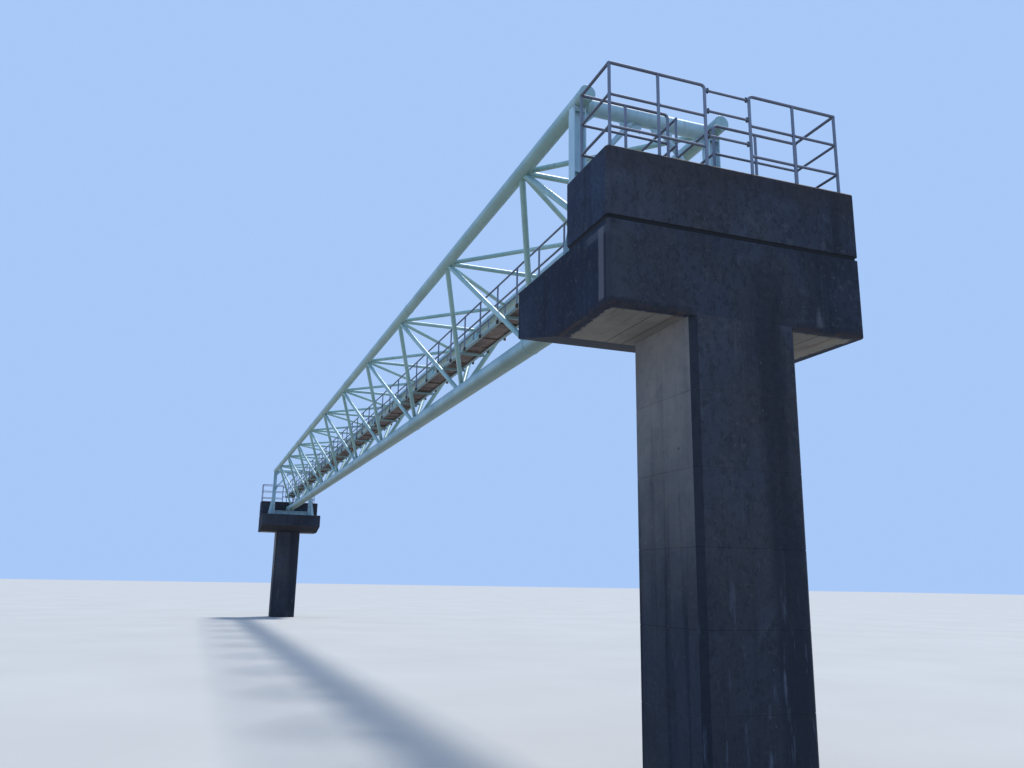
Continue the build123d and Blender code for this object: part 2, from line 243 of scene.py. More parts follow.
def block(b, lo, hi, edge=0.0, mat=0, turn=None, at=None, smooth=False):
    """A box with chamfered edges, turned by a matrix about the point at."""
    x0, y0, z0 = lo
    x1, y1, z1 = hi
    e = min(edge, (x1 - x0) / 2.01, (y1 - y0) / 2.01, (z1 - z0) / 2.01)
    if e <= 0:
        vs = [Vector((x, y, z)) for x in (x0, x1) for y in (y0, y1) for z in (z0, z1)]
        fs = [(0, 1, 3, 2), (4, 6, 7, 5), (0, 4, 5, 1), (2, 3, 7, 6), (0, 2, 6, 4), (1, 5, 7, 3)]
    else:
        vs, idx = [], {}
        for ix, x in enumerate((x0, x1)):
            for iy, y in enumerate((y0, y1)):
                for iz, z in enumerate((z0, z1)):
                    sx, sy, sz = (1 if ix == 0 else -1), (1 if iy == 0 else -1), (1 if iz == 0 else -1)
                    for ax in range(3):
                        p = [x + sx * e, y + sy * e, z + sz * e]
                        p[ax] = (x, y, z)[ax]
                        idx[ix, iy, iz, ax] = len(vs)
                        vs.append(Vector(p))
        g = lambda *k: idx[k]
        fs = []
        for i in (0, 1):
            q = [g(i, 0, 0, 0), g(i, 1, 0, 0), g(i, 1, 1, 0), g(i, 0, 1, 0)]
            fs.append(tuple(q if i else q[::-1]))
            q = [g(0, i, 0, 1), g(0, i, 1, 1), g(1, i, 1, 1), g(1, i, 0, 1)]
            fs.append(tuple(q if i else q[::-1]))
            q = [g(0, 0, i, 2), g(1, 0, i, 2), g(1, 1, i, 2), g(0, 1, i, 2)]
            fs.append(tuple(q if i else q[::-1]))
        for i in (0, 1):
            for j in (0, 1):
                flip = i != j
                q = [g(i, j, 0, 0), g(i, j, 0, 1), g(i, j, 1, 1), g(i, j, 1, 0)]
                fs.append(tuple(q[::-1] if flip else q))
                q = [g(i, 0, j, 0), g(i, 1, j, 0), g(i, 1, j, 2), g(i, 0, j, 2)]
                fs.append(tuple(q[::-1] if flip else q))
                q = [g(0, i, j, 1), g(0, i, j, 2), g(1, i, j, 2), g(1, i, j, 1)]
                fs.append(tuple(q[::-1] if flip else q))
        for i in (0, 1):
            for j in (0, 1):
                for k in (0, 1):
                    q = [g(i, j, k, 0), g(i, j, k, 1), g(i, j, k, 2)]
                    fs.append(tuple(q if (i + j + k) % 2 else q[::-1]))
    if turn is not None:
        at = Vector(at)
        vs = [at + turn @ (p - at) for p in vs]
    b.add(vs, fs, mat, smooth)


def inset(poly, e):
    """The outline moved inward by e; the outline runs anticlockwise."""
    n = len(poly)
    out = []
    for i in range(n):
        p0, p1, p2 = poly[i - 1], poly[i], poly[(i + 1) % n]
        d1 = Vector((p1[0] - p0[0], p1[1] - p0[1])).normalized()
        d2 = Vector((p2[0] - p1[0], p2[1] - p1[1])).normalized()
        n1, n2 = Vector((-d1.y, d1.x)), Vector((-d2.y, d2.x))
        s = n1 + n2
        k = s.length_squared
        off = s * (2 * e / k) if k > 1e-9 else n1 * e
        out.append((p1[0] + off.x, p1[1] + off.y))
    return out


def turning(poly):
    """The outline, made to run anticlockwise."""
    area = sum(poly[i - 1][0] * poly[i][1] - poly[i][0] * poly[i - 1][1] for i in range(len(poly)))
    return poly if area > 0 else poly[::-1]


def prism(b, poly, origin, ux, uy, h0, h1, edge=0.0, mat=0, smooth=False):
    """A plate or a section: the outline poly in the plane ux, uy, from h0 to h1 along ux x uy, its rims chamfered."""
    origin, ux, uy = Vector(origin), Vector(ux), Vector(uy)
    uz = ux.cross(uy)
    area = sum(poly[i - 1][0] * poly[i][1] - poly[i][0] * poly[i - 1][1] for i in range(len(poly)))
    if area < 0:
        poly = poly[::-1]

    def lay(pl, h):
        return [origin + ux * p[0] + uy * p[1] + uz * h for p in pl]

    if edge > 0:
        inner = inset(poly, edge)
        rings = [lay(inner, h0), lay(poly, h0 + edge), lay(poly, h1 - edge), lay(inner, h1)]
    else:
        rings = [lay(poly, h0), lay(poly, h1)]
    skin(b, rings, mat, smooth)


def bolt(b, at, axis, r=0.006, tip=0.0, mat=0, washer=True):
    """A washer, a hexagon nut and the end of the rod."""
    at = Vector(at)
    u, v, d = basis(Vector(axis))
    h = 0.0
    if washer:
        w = r * 0.35
        skin(b, [ring(at, u, v, r * 2.0, 14), ring(at + d * w * 0.7, u, v, r * 2.0, 14), ring(at + d * w, u, v, r * 1.85, 14)], mat, False)
        h = w
    k = r * 1.6
    turn = random.random()
    skin(
        b,
        [
            ring(at + d * h, u, v, r * 1.7, 6, turn),
            ring(at + d * (h + k * 0.85), u, v, r * 1.7, 6, turn),
            ring(at + d * (h + k), u, v, r * 1.5, 6, turn),
        ],
        mat,
        False,
    )
    if tip > 0:
        skin(b, [ring(at + d * (h + k), u, v, r, 10), ring(at + d * (h + k + tip * 0.85), u, v, r, 10), ring(at + d * (h + k + tip), u, v, r * 0.8, 10)], mat, True)


# ------------------------------------------------------------------ materials
def lin(r, g, b):
    def f(c):
        c /= 255.0
        return c / 12.92 if c <= 0.04045 else ((c + 0.055) / 1.055) ** 2.4

    return (f(r), f(g), f(b), 1.0)


class Mat:
    def __init__(self, name, rough=0.6, metal=0.0, specular=0.5):
        self.mat = bpy.data.materials.new(name)
        self.mat.use_nodes = True
        self.t = self.mat.node_tree
        self.t.nodes.clear()
        self.out = self.t.nodes.new("ShaderNodeOutputMaterial")
        self.sh = self.t.nodes.new("ShaderNodeBsdfPrincipled")
        self.t.links.new(self.sh.outputs[0], self.out.inputs[0])
        self.sh.inputs["Roughness"].default_value = rough
        self.sh.inputs["Metallic"].default_value = metal
        self.sh.inputs["Specular IOR Level"].default_value = specular
        tc = self.t.nodes.new("ShaderNodeTexCoord")
        self.pos = tc.outputs["Object"]
        self.normal = tc.outputs["Normal"]

    def put(self, sock, value):
        if isinstance(value, bpy.types.NodeSocket):
            self.t.links.new(value, sock)
        else:
            sock.default_value = value

    def mapping(self, scale=(1, 1, 1), loc=(0, 0, 0), vec=None):
        n = self.t.nodes.new("ShaderNodeMapping")
        n.inputs["Scale"].default_value = scale
        n.inputs["Location"].default_value = loc
        self.t.links.new(vec or self.pos, n.inputs["Vector"])
        return n.outputs[0]

    def noise(self, scale, detail=4.0, rough=0.55, vec=None, distort=0.0):
        n = self.t.nodes.new("ShaderNodeTexNoise")
        n.inputs["Scale"].default_value = scale
        n.inputs["Detail"].default_value = detail
        n.inputs["Roughness"].default_value = rough
        n.inputs["Distortion"].default_value = distort
        self.t.links.new(vec or self.pos, n.inputs["Vector"])
        return n.outputs["Fac"]

    def voronoi(self, scale, vec=None, feature="F1", rand=1.0):
        n = self.t.nodes.new("ShaderNodeTexVoronoi")
        n.feature = feature
        n.inputs["Scale"].default_value = scale
        n.inputs["Randomness"].default_value = rand
        self.t.links.new(vec or self.pos, n.inputs["Vector"])
        return n.outputs["Distance"]

    def white(self, value):
        n = self.t.nodes.new("ShaderNodeTexWhiteNoise")
        n.noise_dimensions = "1D"
        self.put(n.inputs["W"], value)
        return n.outputs["Value"]

    def math(self, op, a, b=0.0, c=0.0, clamp=False):
        n = self.t.nodes.new("ShaderNodeMath")
        n.operation = op
        n.use_clamp = clamp
        self.put(n.inputs[0], a)
        self.put(n.inputs[1], b)
        if len(n.inputs) > 2:
            self.put(n.inputs[2], c)
        return n.outputs[0]

    def step(self, x, lo, hi):
        """0 below lo, 1 above hi, smooth between; lo may be above hi."""
        n = self.t.nodes.new("ShaderNodeMapRange")
        n.interpolation_type = "SMOOTHSTEP"
        flip = lo > hi
        self.put(n.inputs["Value"], x)
        n.inputs["From Min"].default_value = min(lo, hi)
        n.inputs["From Max"].default_value = max(lo, hi)
        n.inputs["To Min"].default_value = 1.0 if flip else 0.0
        n.inputs["To Max"].default_value = 0.0 if flip else 1.0
        return n.outputs[0]

    def mul(self, *xs):
        out = xs[0]
        for x in xs[1:]:
            out = self.math("MULTIPLY", out, x)
        return out

    def mix(self, fac, a, b, blend="MIX"):
        n = self.t.nodes.new("ShaderNodeMix")
        n.data_type = "RGBA"
        n.blend_type = blend
        self.put(n.inputs[0], fac)
        self.put(n.inputs[6], a)
        self.put(n.inputs[7], b)
        return n.outputs[2]

    def ramp(self, fac, stops):
        n = self.t.nodes.new("ShaderNodeValToRGB")
        e = n.color_ramp.elements
        while len(e) > 1:
            e.remove(e[-1])
        e[0].position, e[0].color = stops[0]
        for p, c in stops[1:]:
            x = e.new(p)
            x.color = c
        self.t.links.new(fac, n.inputs[0])
        return n.outputs[0]

    def split(self, vec):
        n = self.t.nodes.new("ShaderNodeSeparateXYZ")
        self.t.links.new(vec, n.inputs[0])
        return n.outputs[0], n.outputs[1], n.outputs[2]

    def bump(self, height, strength, dist=0.01, normal=None):
        n = self.t.nodes.new("ShaderNodeBump")
        n.inputs["Strength"].default_value = strength
        n.inputs["Distance"].default_value = dist
        self.t.links.new(height, n.inputs["Height"])
        if normal is not None:
            self.t.links.new(normal, n.inputs["Normal"])
        return n.outputs[0]

    def done(self, color, rough=None, normal=None):
        self.put(self.sh.inputs["Base Color"], color)
        if rough is not None:
            self.put(self.sh.inputs["Roughness"], rough)
        if normal is not None:
            self.t.links.new(normal, self.sh.inputs["Normal"])
        return self.mat


def concrete(name, part, seed=0.0):
    """Weathered cast concrete: blue-black outer and end faces, paler sheltered faces; the blue tint and the tone of
    each face direction are partly painted shade.
    """
    m = Mat(name, rough=0.92, specular=0.25)
    x, y, z = m.split(m.pos)
    nx, ny, nz = m.split(m.normal)
    depth = m.math("SUBTRACT", HALF, m.math("ABSOLUTE", x))
    end_face = m.step(m.math("ABSOLUTE", nx), 0.5, 0.68)
    side_face = m.math("MULTIPLY", m.step(m.math("ABSOLUTE", ny), 0.5, 0.9), m.math("SUBTRACT", 1.0, end_face))
    up_face = m.step(nz, 0.5, 0.9)
    down_face = m.step(nz, -0.35, -0.8)
    off = (seed * 3.1, seed * 1.7, seed * 0.9)
    cloud = m.noise(1.3, 6, 0.6, m.mapping((1, 1, 0.8), off))
    blotch = m.noise(4.2, 6, 0.65, m.mapping((1, 1, 1), off), 0.3)
    mottle = m.noise(11.0, 7, 0.66, m.mapping((1, 1, 1), off))
    grain = m.noise(170.0, 3, 0.6)
    pit = m.voronoi(62.0)
    streak = m.noise(1.0, 5, 0.6, m.mapping((9.0, 9.0, 0.35), off), 0.15)
    fine_streak = m.noise(1.0, 4, 0.6, m.mapping((38.0, 38.0, 0.9), off), 0.1)
    rag = m.math("MULTIPLY", m.math("SUBTRACT", m.noise(24.0, 6, 0.7), 0.5), 0.10)

    # clean sheltered concrete
    if part == "cap":
        stops = [(0.3, lin(106, 103, 97)), (0.5, lin(126, 121, 113)), (0.7, lin(142, 135, 125))]
    else:
        stops = [(0.3, lin(128, 127, 126)), (0.5, lin(149, 146, 142)), (0.7, lin(165, 160, 153))]
    clean = m.ramp(cloud, stops)
    clean = m.mix(m.math("MULTIPLY", m.step(mottle, 0.45, 0.7), 0.35), clean, lin(98, 101, 106))
    # growth-blackened concrete, its blue tint painted shade
    black = m.ramp(cloud, [(0.3, lin(38, 46, 62)), (0.5, lin(51, 60, 79)), (0.7, lin(62, 71, 90))])
    black = m.mix(m.math("MULTIPLY", m.step(blotch, 0.44, 0.66), 0.55), black, lin(36, 43, 58))
    black = m.mix(m.math("MULTIPLY", m.step(mottle, 0.54, 0.70), 0.50), black, lin(76, 84, 100))
    black = m.mix(m.math("MULTIPLY", m.step(streak, 0.48, 0.32), 0.55), black, lin(28, 34, 46))
    black = m.mix(m.math("MULTIPLY", m.step(fine_streak, 0.60, 0.78), 0.30), black, lin(92, 98, 112))
    # each shutter board took its own tone
    board = m.math("ADD", m.math("FLOOR", m.math("MULTIPLY", y, 2.18)), m.math("MULTIPLY", m.math("FLOOR", m.math("MULTIPLY", z, 2.22)), 13.0))
    board = m.math("ADD", board, m.math("MULTIPLY", m.math("FLOOR", m.math("MULTIPLY", depth, 2.5)), 41.0))
    tone = m.ramp(m.white(board), [(0.0, (0.84, 0.84, 0.86, 1)), (1.0, (1.10, 1.10, 1.08, 1))])
    black = m.mix(1.0, black, tone, "MULTIPLY")
    # the outer faces are lighter towards the left side
    lean = m.mul(end_face, m.step(y, -0.9, 0.9))
    black = m.mix(m.math("MULTIPLY", lean, 0.30), black, lin(76, 82, 98))
    # soot-brown patches on the outer faces
    warm = m.mul(end_face, m.step(m.noise(2.4, 5, 0.6, m.mapping((1, 1, 0.6), (seed * 2.3, 0.4, 1.1))), 0.42, 0.62))
    black = m.mix(m.math("MULTIPLY", warm, 0.40), black, lin(60, 58, 64))
    # painted shade and light: each face direction gets its own tone, the cap's sides much darker and bluer and the
    # fronts warmer, as light falls on them
    side_shade_tone = {"block": (0.80, 0.93, 1.02, 1.0), "cap": (0.44, 0.54, 0.66, 1.0), "column": (0.95, 0.92, 0.86, 1.0)}[part]
    face_light_tone = m.mix(end_face, side_shade_tone, (0.90, 0.89, 0.80, 1.0) if part == "cap" else (1.04, 0.99, 0.86, 1.0))
    black = m.mix(1.0, black, face_light_tone, "MULTIPLY")
    # worn fine-grained fretting shows as a paler, brown-grey pepper
    pepper = m.mul(m.step(m.noise(30.0, 7, 0.78), 0.53, 0.66), m.step(blotch, 0.36, 0.60))
    black = m.mix(m.math("MULTIPLY", pepper, 0.55), black, lin(88, 90, 92))
    soot = m.mul(m.step(m.noise(26.0, 7, 0.78, m.mapping((1, 1, 0.7), (3.3, 1.2, 0.7))), 0.52, 0.38), 0.5)
    black = m.mix(soot, black, lin(26, 29, 38))

    if part == "column":
        low = m.step(m.math("ADD", z, m.math("MULTIPLY", blotch, 0.8)), 3.05, 1.05)
        side = m.math("ADD", 0.34, m.math("MULTIPLY", low, 0.60))
        wet = m.math("MULTIPLY", m.step(streak, 0.5, 0.33), 0.10)
        side = m.math("MULTIPLY", side_face, m.math("ADD", side, wet, clamp=True))
        grown = m.math("ADD", m.math("MULTIPLY", end_face, 0.975), side, clamp=True)
    elif part == "cap":
        g = m.math("ADD", end_face, side_face)
        g = m.math("ADD", g, m.math("MULTIPLY", up_face, 0.85))
        # the level soffit stays pale but for a ragged band along its rims
        rim_y = m.step(m.math("ADD", m.math("ABSOLUTE", y), m.math("ADD", rag, m.math("MULTIPLY", depth, 0.05))), WIDE - 0.060, WIDE - 0.040)
        rim_x = m.step(m.math("ADD", depth, rag), 0.085, 0.045)
        slope = m.step(depth, KINK - 0.002, KINK + 0.004)
        down = m.math("MAXIMUM", m.math("MULTIPLY", m.math("MAXIMUM", rim_y, rim_x), 0.92), m.math("MULTIPLY", slope, 0.9))
        g = m.math("ADD", g, m.math("MULTIPLY", down_face, m.math("ADD", down, 0.06)), clamp=True)
        grown = g
    else:
        g = m.math("ADD", end_face, side_face)
        g = m.math("ADD", g, m.step(nz, -0.3, -0.6), clamp=True)
        grown = m.math("ADD", g, m.math("MULTIPLY", up_face, 0.7), clamp=True)
    color = m.mix(grown, clean, black)
    # the arrises where the face turns: worn and paler on the cap and block, darkened on the column
    flat = m.math("MAXIMUM", m.math("MAXIMUM", m.math("ABSOLUTE", nx), m.math("ABSOLUTE", ny)), m.math("ABSOLUTE", nz))
    arris = m.math("MULTIPLY", m.step(flat, 0.96, 0.80), m.step(mottle, 0.35, 0.6))
    if part == "column":
        color = m.mix(m.math("MULTIPLY", m.step(flat, 0.90, 0.78), 0.55), color, lin(30, 33, 44))
    else:
        color = m.mix(m.math("MULTIPLY", arris, 0.16), color, lin(78, 82, 92))

    if part == "column":
        # the darkest run of water down the outer face, and pale lime marks low down
        centre = m.math("ADD", -0.16, m.math("MULTIPLY", m.math("SUBTRACT", 2.7, z), -0.035))
        d = m.math("ABSOLUTE", m.math("SUBTRACT", y, centre))
        wob = m.math("MULTIPLY", m.math("SUBTRACT", streak, 0.5), 0.25)
        run = m.mul(m.step(m.math("ADD", d, wob), 0.17, 0.06), end_face)
        color = m.mix(m.math("MULTIPLY", run, 0.55), color, lin(25, 31, 43))
        dim = m.mul(m.step(z, 1.9, 0.5), m.math("ADD", end_face, side_face))
        color = m.mix(m.math("MULTIPLY", dim, 0.42), color, lin(30, 37, 50))
        lime = m.mul(m.step(m.noise(1.0, 6, 0.65, m.mapping((14, 14, 2.2), (4.2, 1, 0.3))), 0.56, 0.7), m.step(z, 1.6, 0.7), end_face)
        color = m.mix(m.math("MULTIPLY", lime, 0.40), color, lin(112, 122, 140))
        foot = m.mul(m.step(z, 0.30, 0.02), m.step(mottle, 0.35, 0.6))
        color = m.mix(m.math("MULTIPLY", foot, 0.35), color, lin(68, 70, 60))
    if part == "cap":
        # a paler shutter strip along the outer left corner, on the side and more faintly on the face
        wavy = m.math("MULTIPLY", m.math("SUBTRACT", mottle, 0.5), 0.03)
        left = m.step(ny, 0.5, 0.9)
        height = m.mul(m.step(m.math("ADD", z, wavy), COL_H + 0.03, COL_H + 0.06), m.step(z, LEDGE - 0.030, LEDGE - 0.045))
        strip = m.mul(left, m.step(m.math("ADD", depth, wavy), 0.132, 0.112), m.step(m.math("ADD", depth, m.math("MULTIPLY", wavy, 0.3)), 0.046, 0.060), height)
        color = m.mix(m.math("MULTIPLY", strip, 0.66), color, lin(104, 106, 114))
        trim = m.mul(m.step(y, WIDE - 0.030, WIDE - 0.020), m.step(depth, 0.046, 0.034), height)
        color = m.mix(m.math("MULTIPLY", trim, 0.45), color, lin(40, 46, 58))
        hook = m.mul(left, m.step(z, LEDGE - 0.10, LEDGE - 0.075), m.step(z, LEDGE - 0.030, LEDGE - 0.045), m.step(depth, 0.34, 0.22))
        color = m.mix(m.math("MULTIPLY", hook, 0.32), color, lin(96, 104, 118))
        faint = m.mul(end_face, m.step(m.math("ADD", y, wavy), WIDE - 0.24, WIDE - 0.10), height)
        color = m.mix(m.math("MULTIPLY", faint, 0.14), color, lin(84, 92, 98))
        beside = m.step(m.math("ABSOLUTE", m.math("SUBTRACT", y, COL_Y)), COL_W - 0.04, COL_W + 0.02)
        dark_edge = m.mul(m.step(m.math("ADD", z, wavy), COL_H + 0.055, COL_H + 0.03), m.math("ADD", m.math("MULTIPLY", end_face, beside), side_face))
        color = m.mix(m.math("MULTIPLY", dark_edge, 0.45), color, lin(30, 33, 42))
        # lime that ran from a joint near the outer right corner
        d = m.math("ABSOLUTE", m.math("ADD", y, 0.562))
        tri = m.step(m.math("SUBTRACT", d, m.math("MULTIPLY", m.math("SUBTRACT", 2.93, z), 0.19)), 0.014, -0.020)
        white = m.mul(tri, m.step(z, 2.94, 2.84), m.step(z, 2.745, 2.775), m.step(mottle, 0.30, 0.55), end_face)
        color = m.mix(m.math("MULTIPLY", white, 0.42), color, lin(104, 108, 116))
        rusty = m.mul(m.step(z, COL_H + 0.05, COL_H), m.step(streak, 0.42, 0.6), m.math("ADD", m.math("MULTIPLY", end_face, beside), side_face))
        color = m.mix(m.math("MULTIPLY", rusty, 0.35), color, lin(74, 58, 52))
        run_d = m.math("ABSOLUTE", m.math("ADD", y, 0.17))
        run_c = m.mul(m.step(m.math("ADD", run_d, m.math("MULTIPLY", m.math("SUBTRACT", streak, 0.5), 0.30)), 0.20, 0.05), m.step(z, 3.24, 2.85), end_face)
        color = m.mix(m.math("MULTIPLY", run_c, 0.50), color, lin(27, 32, 42))
        # brown water marks on the level soffit, and a brown-black slope
        seep = m.mul(down_face, m.step(m.noise(1.0, 5, 0.6, m.mapping((2.0, 16.0, 1), (0, 0, 0))), 0.55, 0.68))
        color = m.mix(m.math("MULTIPLY", seep, 0.40), color, lin(88, 72, 58))
        band = m.mul(down_face, m.step(m.math("ABSOLUTE", m.math("SUBTRACT", y, m.math("ADD", 0.450, m.math("MULTIPLY", wavy, 0.6)))), 0.016, 0.006))
        color = m.mix(m.math("MULTIPLY", band, 0.50), color, lin(84, 66, 52))
        sloped = m.mul(down_face, slope)
        brown = m.ramp(blotch, [(0.3, lin(26, 27, 34)), (0.5, lin(34, 33, 40)), (0.7, lin(46, 42, 46))])
        color = m.mix(m.math("MULTIPLY", sloped, 0.85), color, brown)
    if part == "block":
        top_run = m.mul(m.step(z, PLAT - 0.16, PLAT), m.step(fine_streak, 0.42, 0.66), m.math("ADD", end_face, side_face))
        color = m.mix(m.math("MULTIPLY", top_run, 0.18), color, lin(84, 80, 80))
        moss = m.mul(up_face, m.step(mottle, 0.5, 0.66))
        color = m.mix(m.math("MULTIPLY", moss, 0.5), color, lin(64, 68, 46))
        # painted highlight: a pale warm line along the top rim of the block's sides, standing in for the sunlit arris
        edge = m.mul(m.step(z, PLAT - 0.0125, PLAT - 0.008), m.step(m.math("ADD", mottle, m.math("MULTIPLY", y, -0.12)), 0.36, 0.54))
        edge = m.mul(edge, m.step(nz, 0.92, 0.80))
        color = m.mix(m.math("MULTIPLY", edge, 0.85), color, lin(164, 142, 120))
        sooty = m.mul(m.step(m.math("ADD", z, m.math("MULTIPLY", blotch, 0.2)), PLAT - 0.12, PLAT + 0.06), end_face)
        color = m.mix(m.math("MULTIPLY", sooty, 0.42), color, lin(50, 44, 46))
    color = m.mix(m.math("MULTIPLY", m.step(pit, 0.15, 0.05), 0.30), color, lin(20, 22, 28))
    color = m.mix(0.18, color, m.ramp(grain, [(0.3, (0.0, 0.0, 0.0, 1)), (0.7, (0.35, 0.35, 0.35, 1))]), "SOFT_LIGHT")
    n1 = m.bump(m.math("ADD", m.math("MULTIPLY", mottle, 0.7), m.math("MULTIPLY", grain, 0.3)), 0.40, 0.006)
    n2 = m.bump(m.step(pit, 0.05, 0.22), 0.35, 0.003, n1)
    rough = m.math("SUBTRACT", 0.98, m.math("MULTIPLY", grown, 0.08))
    return m.done(color, rough, n2)


def paint(name, base, shade, light, rust=0.35, rough=0.42, grime_and_top_light=0.5, under_shade_tint=lin(110, 136, 118), under_shade_amount=0.50):
    """Weathered satin paint with dirt on ledges and small rust blisters, a painted highlight on top faces, painted sky
    light on sideways faces and painted shade on the undersides.
    """
    m = Mat(name, rough=rough, specular=0.5)
    x, y, z = m.split(m.pos)
    nx, ny, nz = m.split(m.normal)
    cloud = m.noise(1.7, 5, 0.6)
    mottle = m.noise(16.0, 5, 0.6)
    spots = m.noise(60.0, 4, 0.7)
    drip = m.noise(1.0, 4, 0.6, m.mapping((26, 26, 1.6)), 0.1)
    color = m.ramp(cloud, [(0.3, shade), (0.52, base), (0.72, light)])
    # painted shade, with green bounce light on most paints: the undersides are darkened and turned towards the given
    # tint
    under = m.step(nz, -0.05, -0.75)
    color = m.mix(m.math("MULTIPLY", under, under_shade_amount), color, under_shade_tint)
    # painted sky light: faces turned sideways are lightened towards pale blue
    side_sky_light = m.mul(m.step(m.math("ABSOLUTE", ny), 0.35, 0.95), m.step(nz, -0.25, 0.25))
    color = m.mix(m.math("MULTIPLY", side_sky_light, 0.25), color, lin(140, 170, 192))
    grime = m.mul(m.step(drip, 0.50, 0.72), grime_and_top_light)
    color = m.mix(m.math("MULTIPLY", grime, 0.5), color, lin(92, 98, 92))
    # painted highlight: top faces are lightened towards white where the sun strikes them
    top = m.mul(m.step(nz, 0.55, 0.95), m.step(mottle, 0.42, 0.62))
    color = m.mix(m.math("MULTIPLY", top, 0.25 * grime_and_top_light * 2), color, lin(205, 210, 200))
    blister = m.mul(m.step(spots, 0.66, 0.74), m.step(mottle, 0.50, 0.62))
    color = m.mix(m.math("MULTIPLY", blister, rust), color, lin(118, 66, 38))
    n1 = m.bump(m.noise(240.0, 2, 0.5), 0.10, 0.001)
    n2 = m.bump(m.math("ADD", m.math("MULTIPLY", mottle, 0.6), m.math("MULTIPLY", blister, 0.8)), 0.12, 0.002, n1)
    r = m.math("ADD", rough, m.math("ADD", m.math("MULTIPLY", mottle, 0.16), m.math("MULTIPLY", blister, 0.3)))
    return m.done(color, r, n2)


def plain(name, base, other, rough, metal=0.0, scale=30.0, bump=0.1):
    """A small fitting's finish: two tones by noise."""
    m = Mat(name, rough=rough, metal=metal)
    a = m.noise(scale, 5, 0.6)
    color = m.ramp(a, [(0.35, base), (0.62, other)])
    n = m.bump(m.noise(scale * 5, 3, 0.6), bump, 0.001)
    return m.done(color, m.math("ADD", rough - 0.08, m.math("MULTIPLY", a, 0.16)), n)


def rusty_under(name):
    """Deck steel: grey-brown worn top, rust-brown underside."""
    m = Mat(name, rough=0.75)
    nx, ny, nz = m.split(m.normal)
    cloud = m.noise(3.0, 6, 0.65)
    mottle = m.noise(22.0, 6, 0.65)
    rust = m.ramp(cloud, [(0.3, lin(60, 50, 48)), (0.5, lin(88, 70, 64)), (0.7, lin(114, 98, 90))])
    rust = m.mix(m.math("MULTIPLY", m.step(mottle, 0.5, 0.68), 0.5), rust, lin(140, 124, 108))
    top = m.ramp(mottle, [(0.35, lin(104, 104, 100)), (0.55, lin(128, 128, 122)), (0.7, lin(120, 98, 78))])
    color = m.mix(m.step(nz, 0.2, 0.8), rust, top)
    # raised pattern of the plate, on its top only
    u = m.mapping((42, 42, 42))
    chk = m.voronoi(1.0, u, rand=0.25)
    n1 = m.bump(m.math("MULTIPLY", m.step(chk, 0.42, 0.30), m.step(nz, 0.2, 0.8)), 0.4, 0.002)
    n2 = m.bump(mottle, 0.4, 0.003, n1)
    return m.done(color, 0.78, n2)


MINT = paint("truss_mint", lin(145, 182, 184), lin(121, 162, 166), lin(165, 198, 198), rough=0.32)
CHORD = paint("chord_mint", lin(140, 174, 180), lin(116, 154, 162), lin(160, 190, 194), rough=0.36, under_shade_tint=lin(100, 124, 104), under_shade_amount=0.62)
PIPE = paint("pipe_mint", lin(140, 174, 182), lin(116, 152, 162), lin(160, 190, 196), rough=0.40, under_shade_tint=lin(84, 104, 90), under_shade_amount=0.85)
MINT_WELD = paint("truss_mint_weld", lin(132, 170, 164), lin(104, 140, 138), lin(154, 190, 182), rust=0.7, rough=0.5)
BLUE = paint("portal_blue", lin(162, 192, 204), lin(136, 170, 184), lin(182, 210, 218), rough=0.45, under_shade_tint=lin(120, 148, 146))
RAIL = paint("rail_dark", lin(108, 118, 138), lin(88, 98, 118), lin(128, 136, 152), rust=0.6, rough=0.55, grime_and_top_light=0.25, under_shade_tint=lin(58, 56, 62), under_shade_amount=0.7)
EDGE = paint("deck_edge", lin(130, 160, 162), lin(104, 134, 138), lin(154, 180, 180), rust=0.8, rough=0.55, under_shade_tint=lin(98, 100, 100))
CLAMP = plain("clamp_dark", lin(44, 42, 44), lin(82, 62, 50), 0.7, 0.2, 60)
BOLT = plain("bolt_zinc", lin(150, 152, 152), lin(110, 98, 86), 0.5, 0.7, 90)
MORTAR = plain("mortar", lin(60, 64, 74), lin(50, 54, 64), 0.95, 0.0, 120, 0.3)
JOINT = plain("joint_dark", lin(15, 17, 22), lin(22, 24, 30), 0.95, 0.0, 60, 0.3)
KNOB = plain("knob_dark", lin(58, 64, 76), lin(76, 78, 84), 0.6, 0.1, 60)
HOLE = plain("hole_dark", lin(20, 20, 22), lin(30, 30, 32), 0.95, 0.0, 120)
UNDER = rusty_under("deck_steel")
CON = {}
for i, part in enumerate(("column", "cap", "block")):
    CON[part] = concrete("concrete_" + part, part, i + 1.0)


# ------------------------------------------------------------------ concrete piers
def solid_object(name, outline, along, lo, hi, bevels, sx):
    """A prism as a temporary object with chosen edges bevelled. bevels is a list of (test, offset)."""
    bm = bmesh.new()
    if along == "y":
        a = [bm.verts.new((p[0], lo, p[1])) for p in outline]
        c = [bm.verts.new((p[0], hi, p[1])) for p in outline]
    else:
        a = [bm.verts.new((p[0], p[1], lo)) for p in outline]
        c = [bm.verts.new((p[0], p[1], hi)) for p in outline]
    bm.faces.new(a)
    bm.faces.new(c[::-1])
    n = len(outline)
    for i in range(n):
        bm.faces.new((a[i], c[i], c[(i + 1) % n], a[(i + 1) % n]))
    bmesh.ops.recalc_face_normals(bm, faces=bm.faces)
    for test, offset in bevels:
        edges = [e for e in bm.edges if test((e.verts[0].co + e.verts[1].co) / 2, (e.verts[1].co - e.verts[0].co).normalized(), e.calc_length())]
        if edges:
            bmesh.ops.bevel(bm, geom=edges, offset=offset, offset_type="OFFSET", segments=1, profile=0.5, affect="EDGES", clamp_overlap=True)
    me = bpy.data.meshes.new(name)
    bm.to_mesh(me)
    bm.free()
    o = bpy.data.objects.new(name, me)
    bpy.context.scene.collection.objects.link(o)
    return o


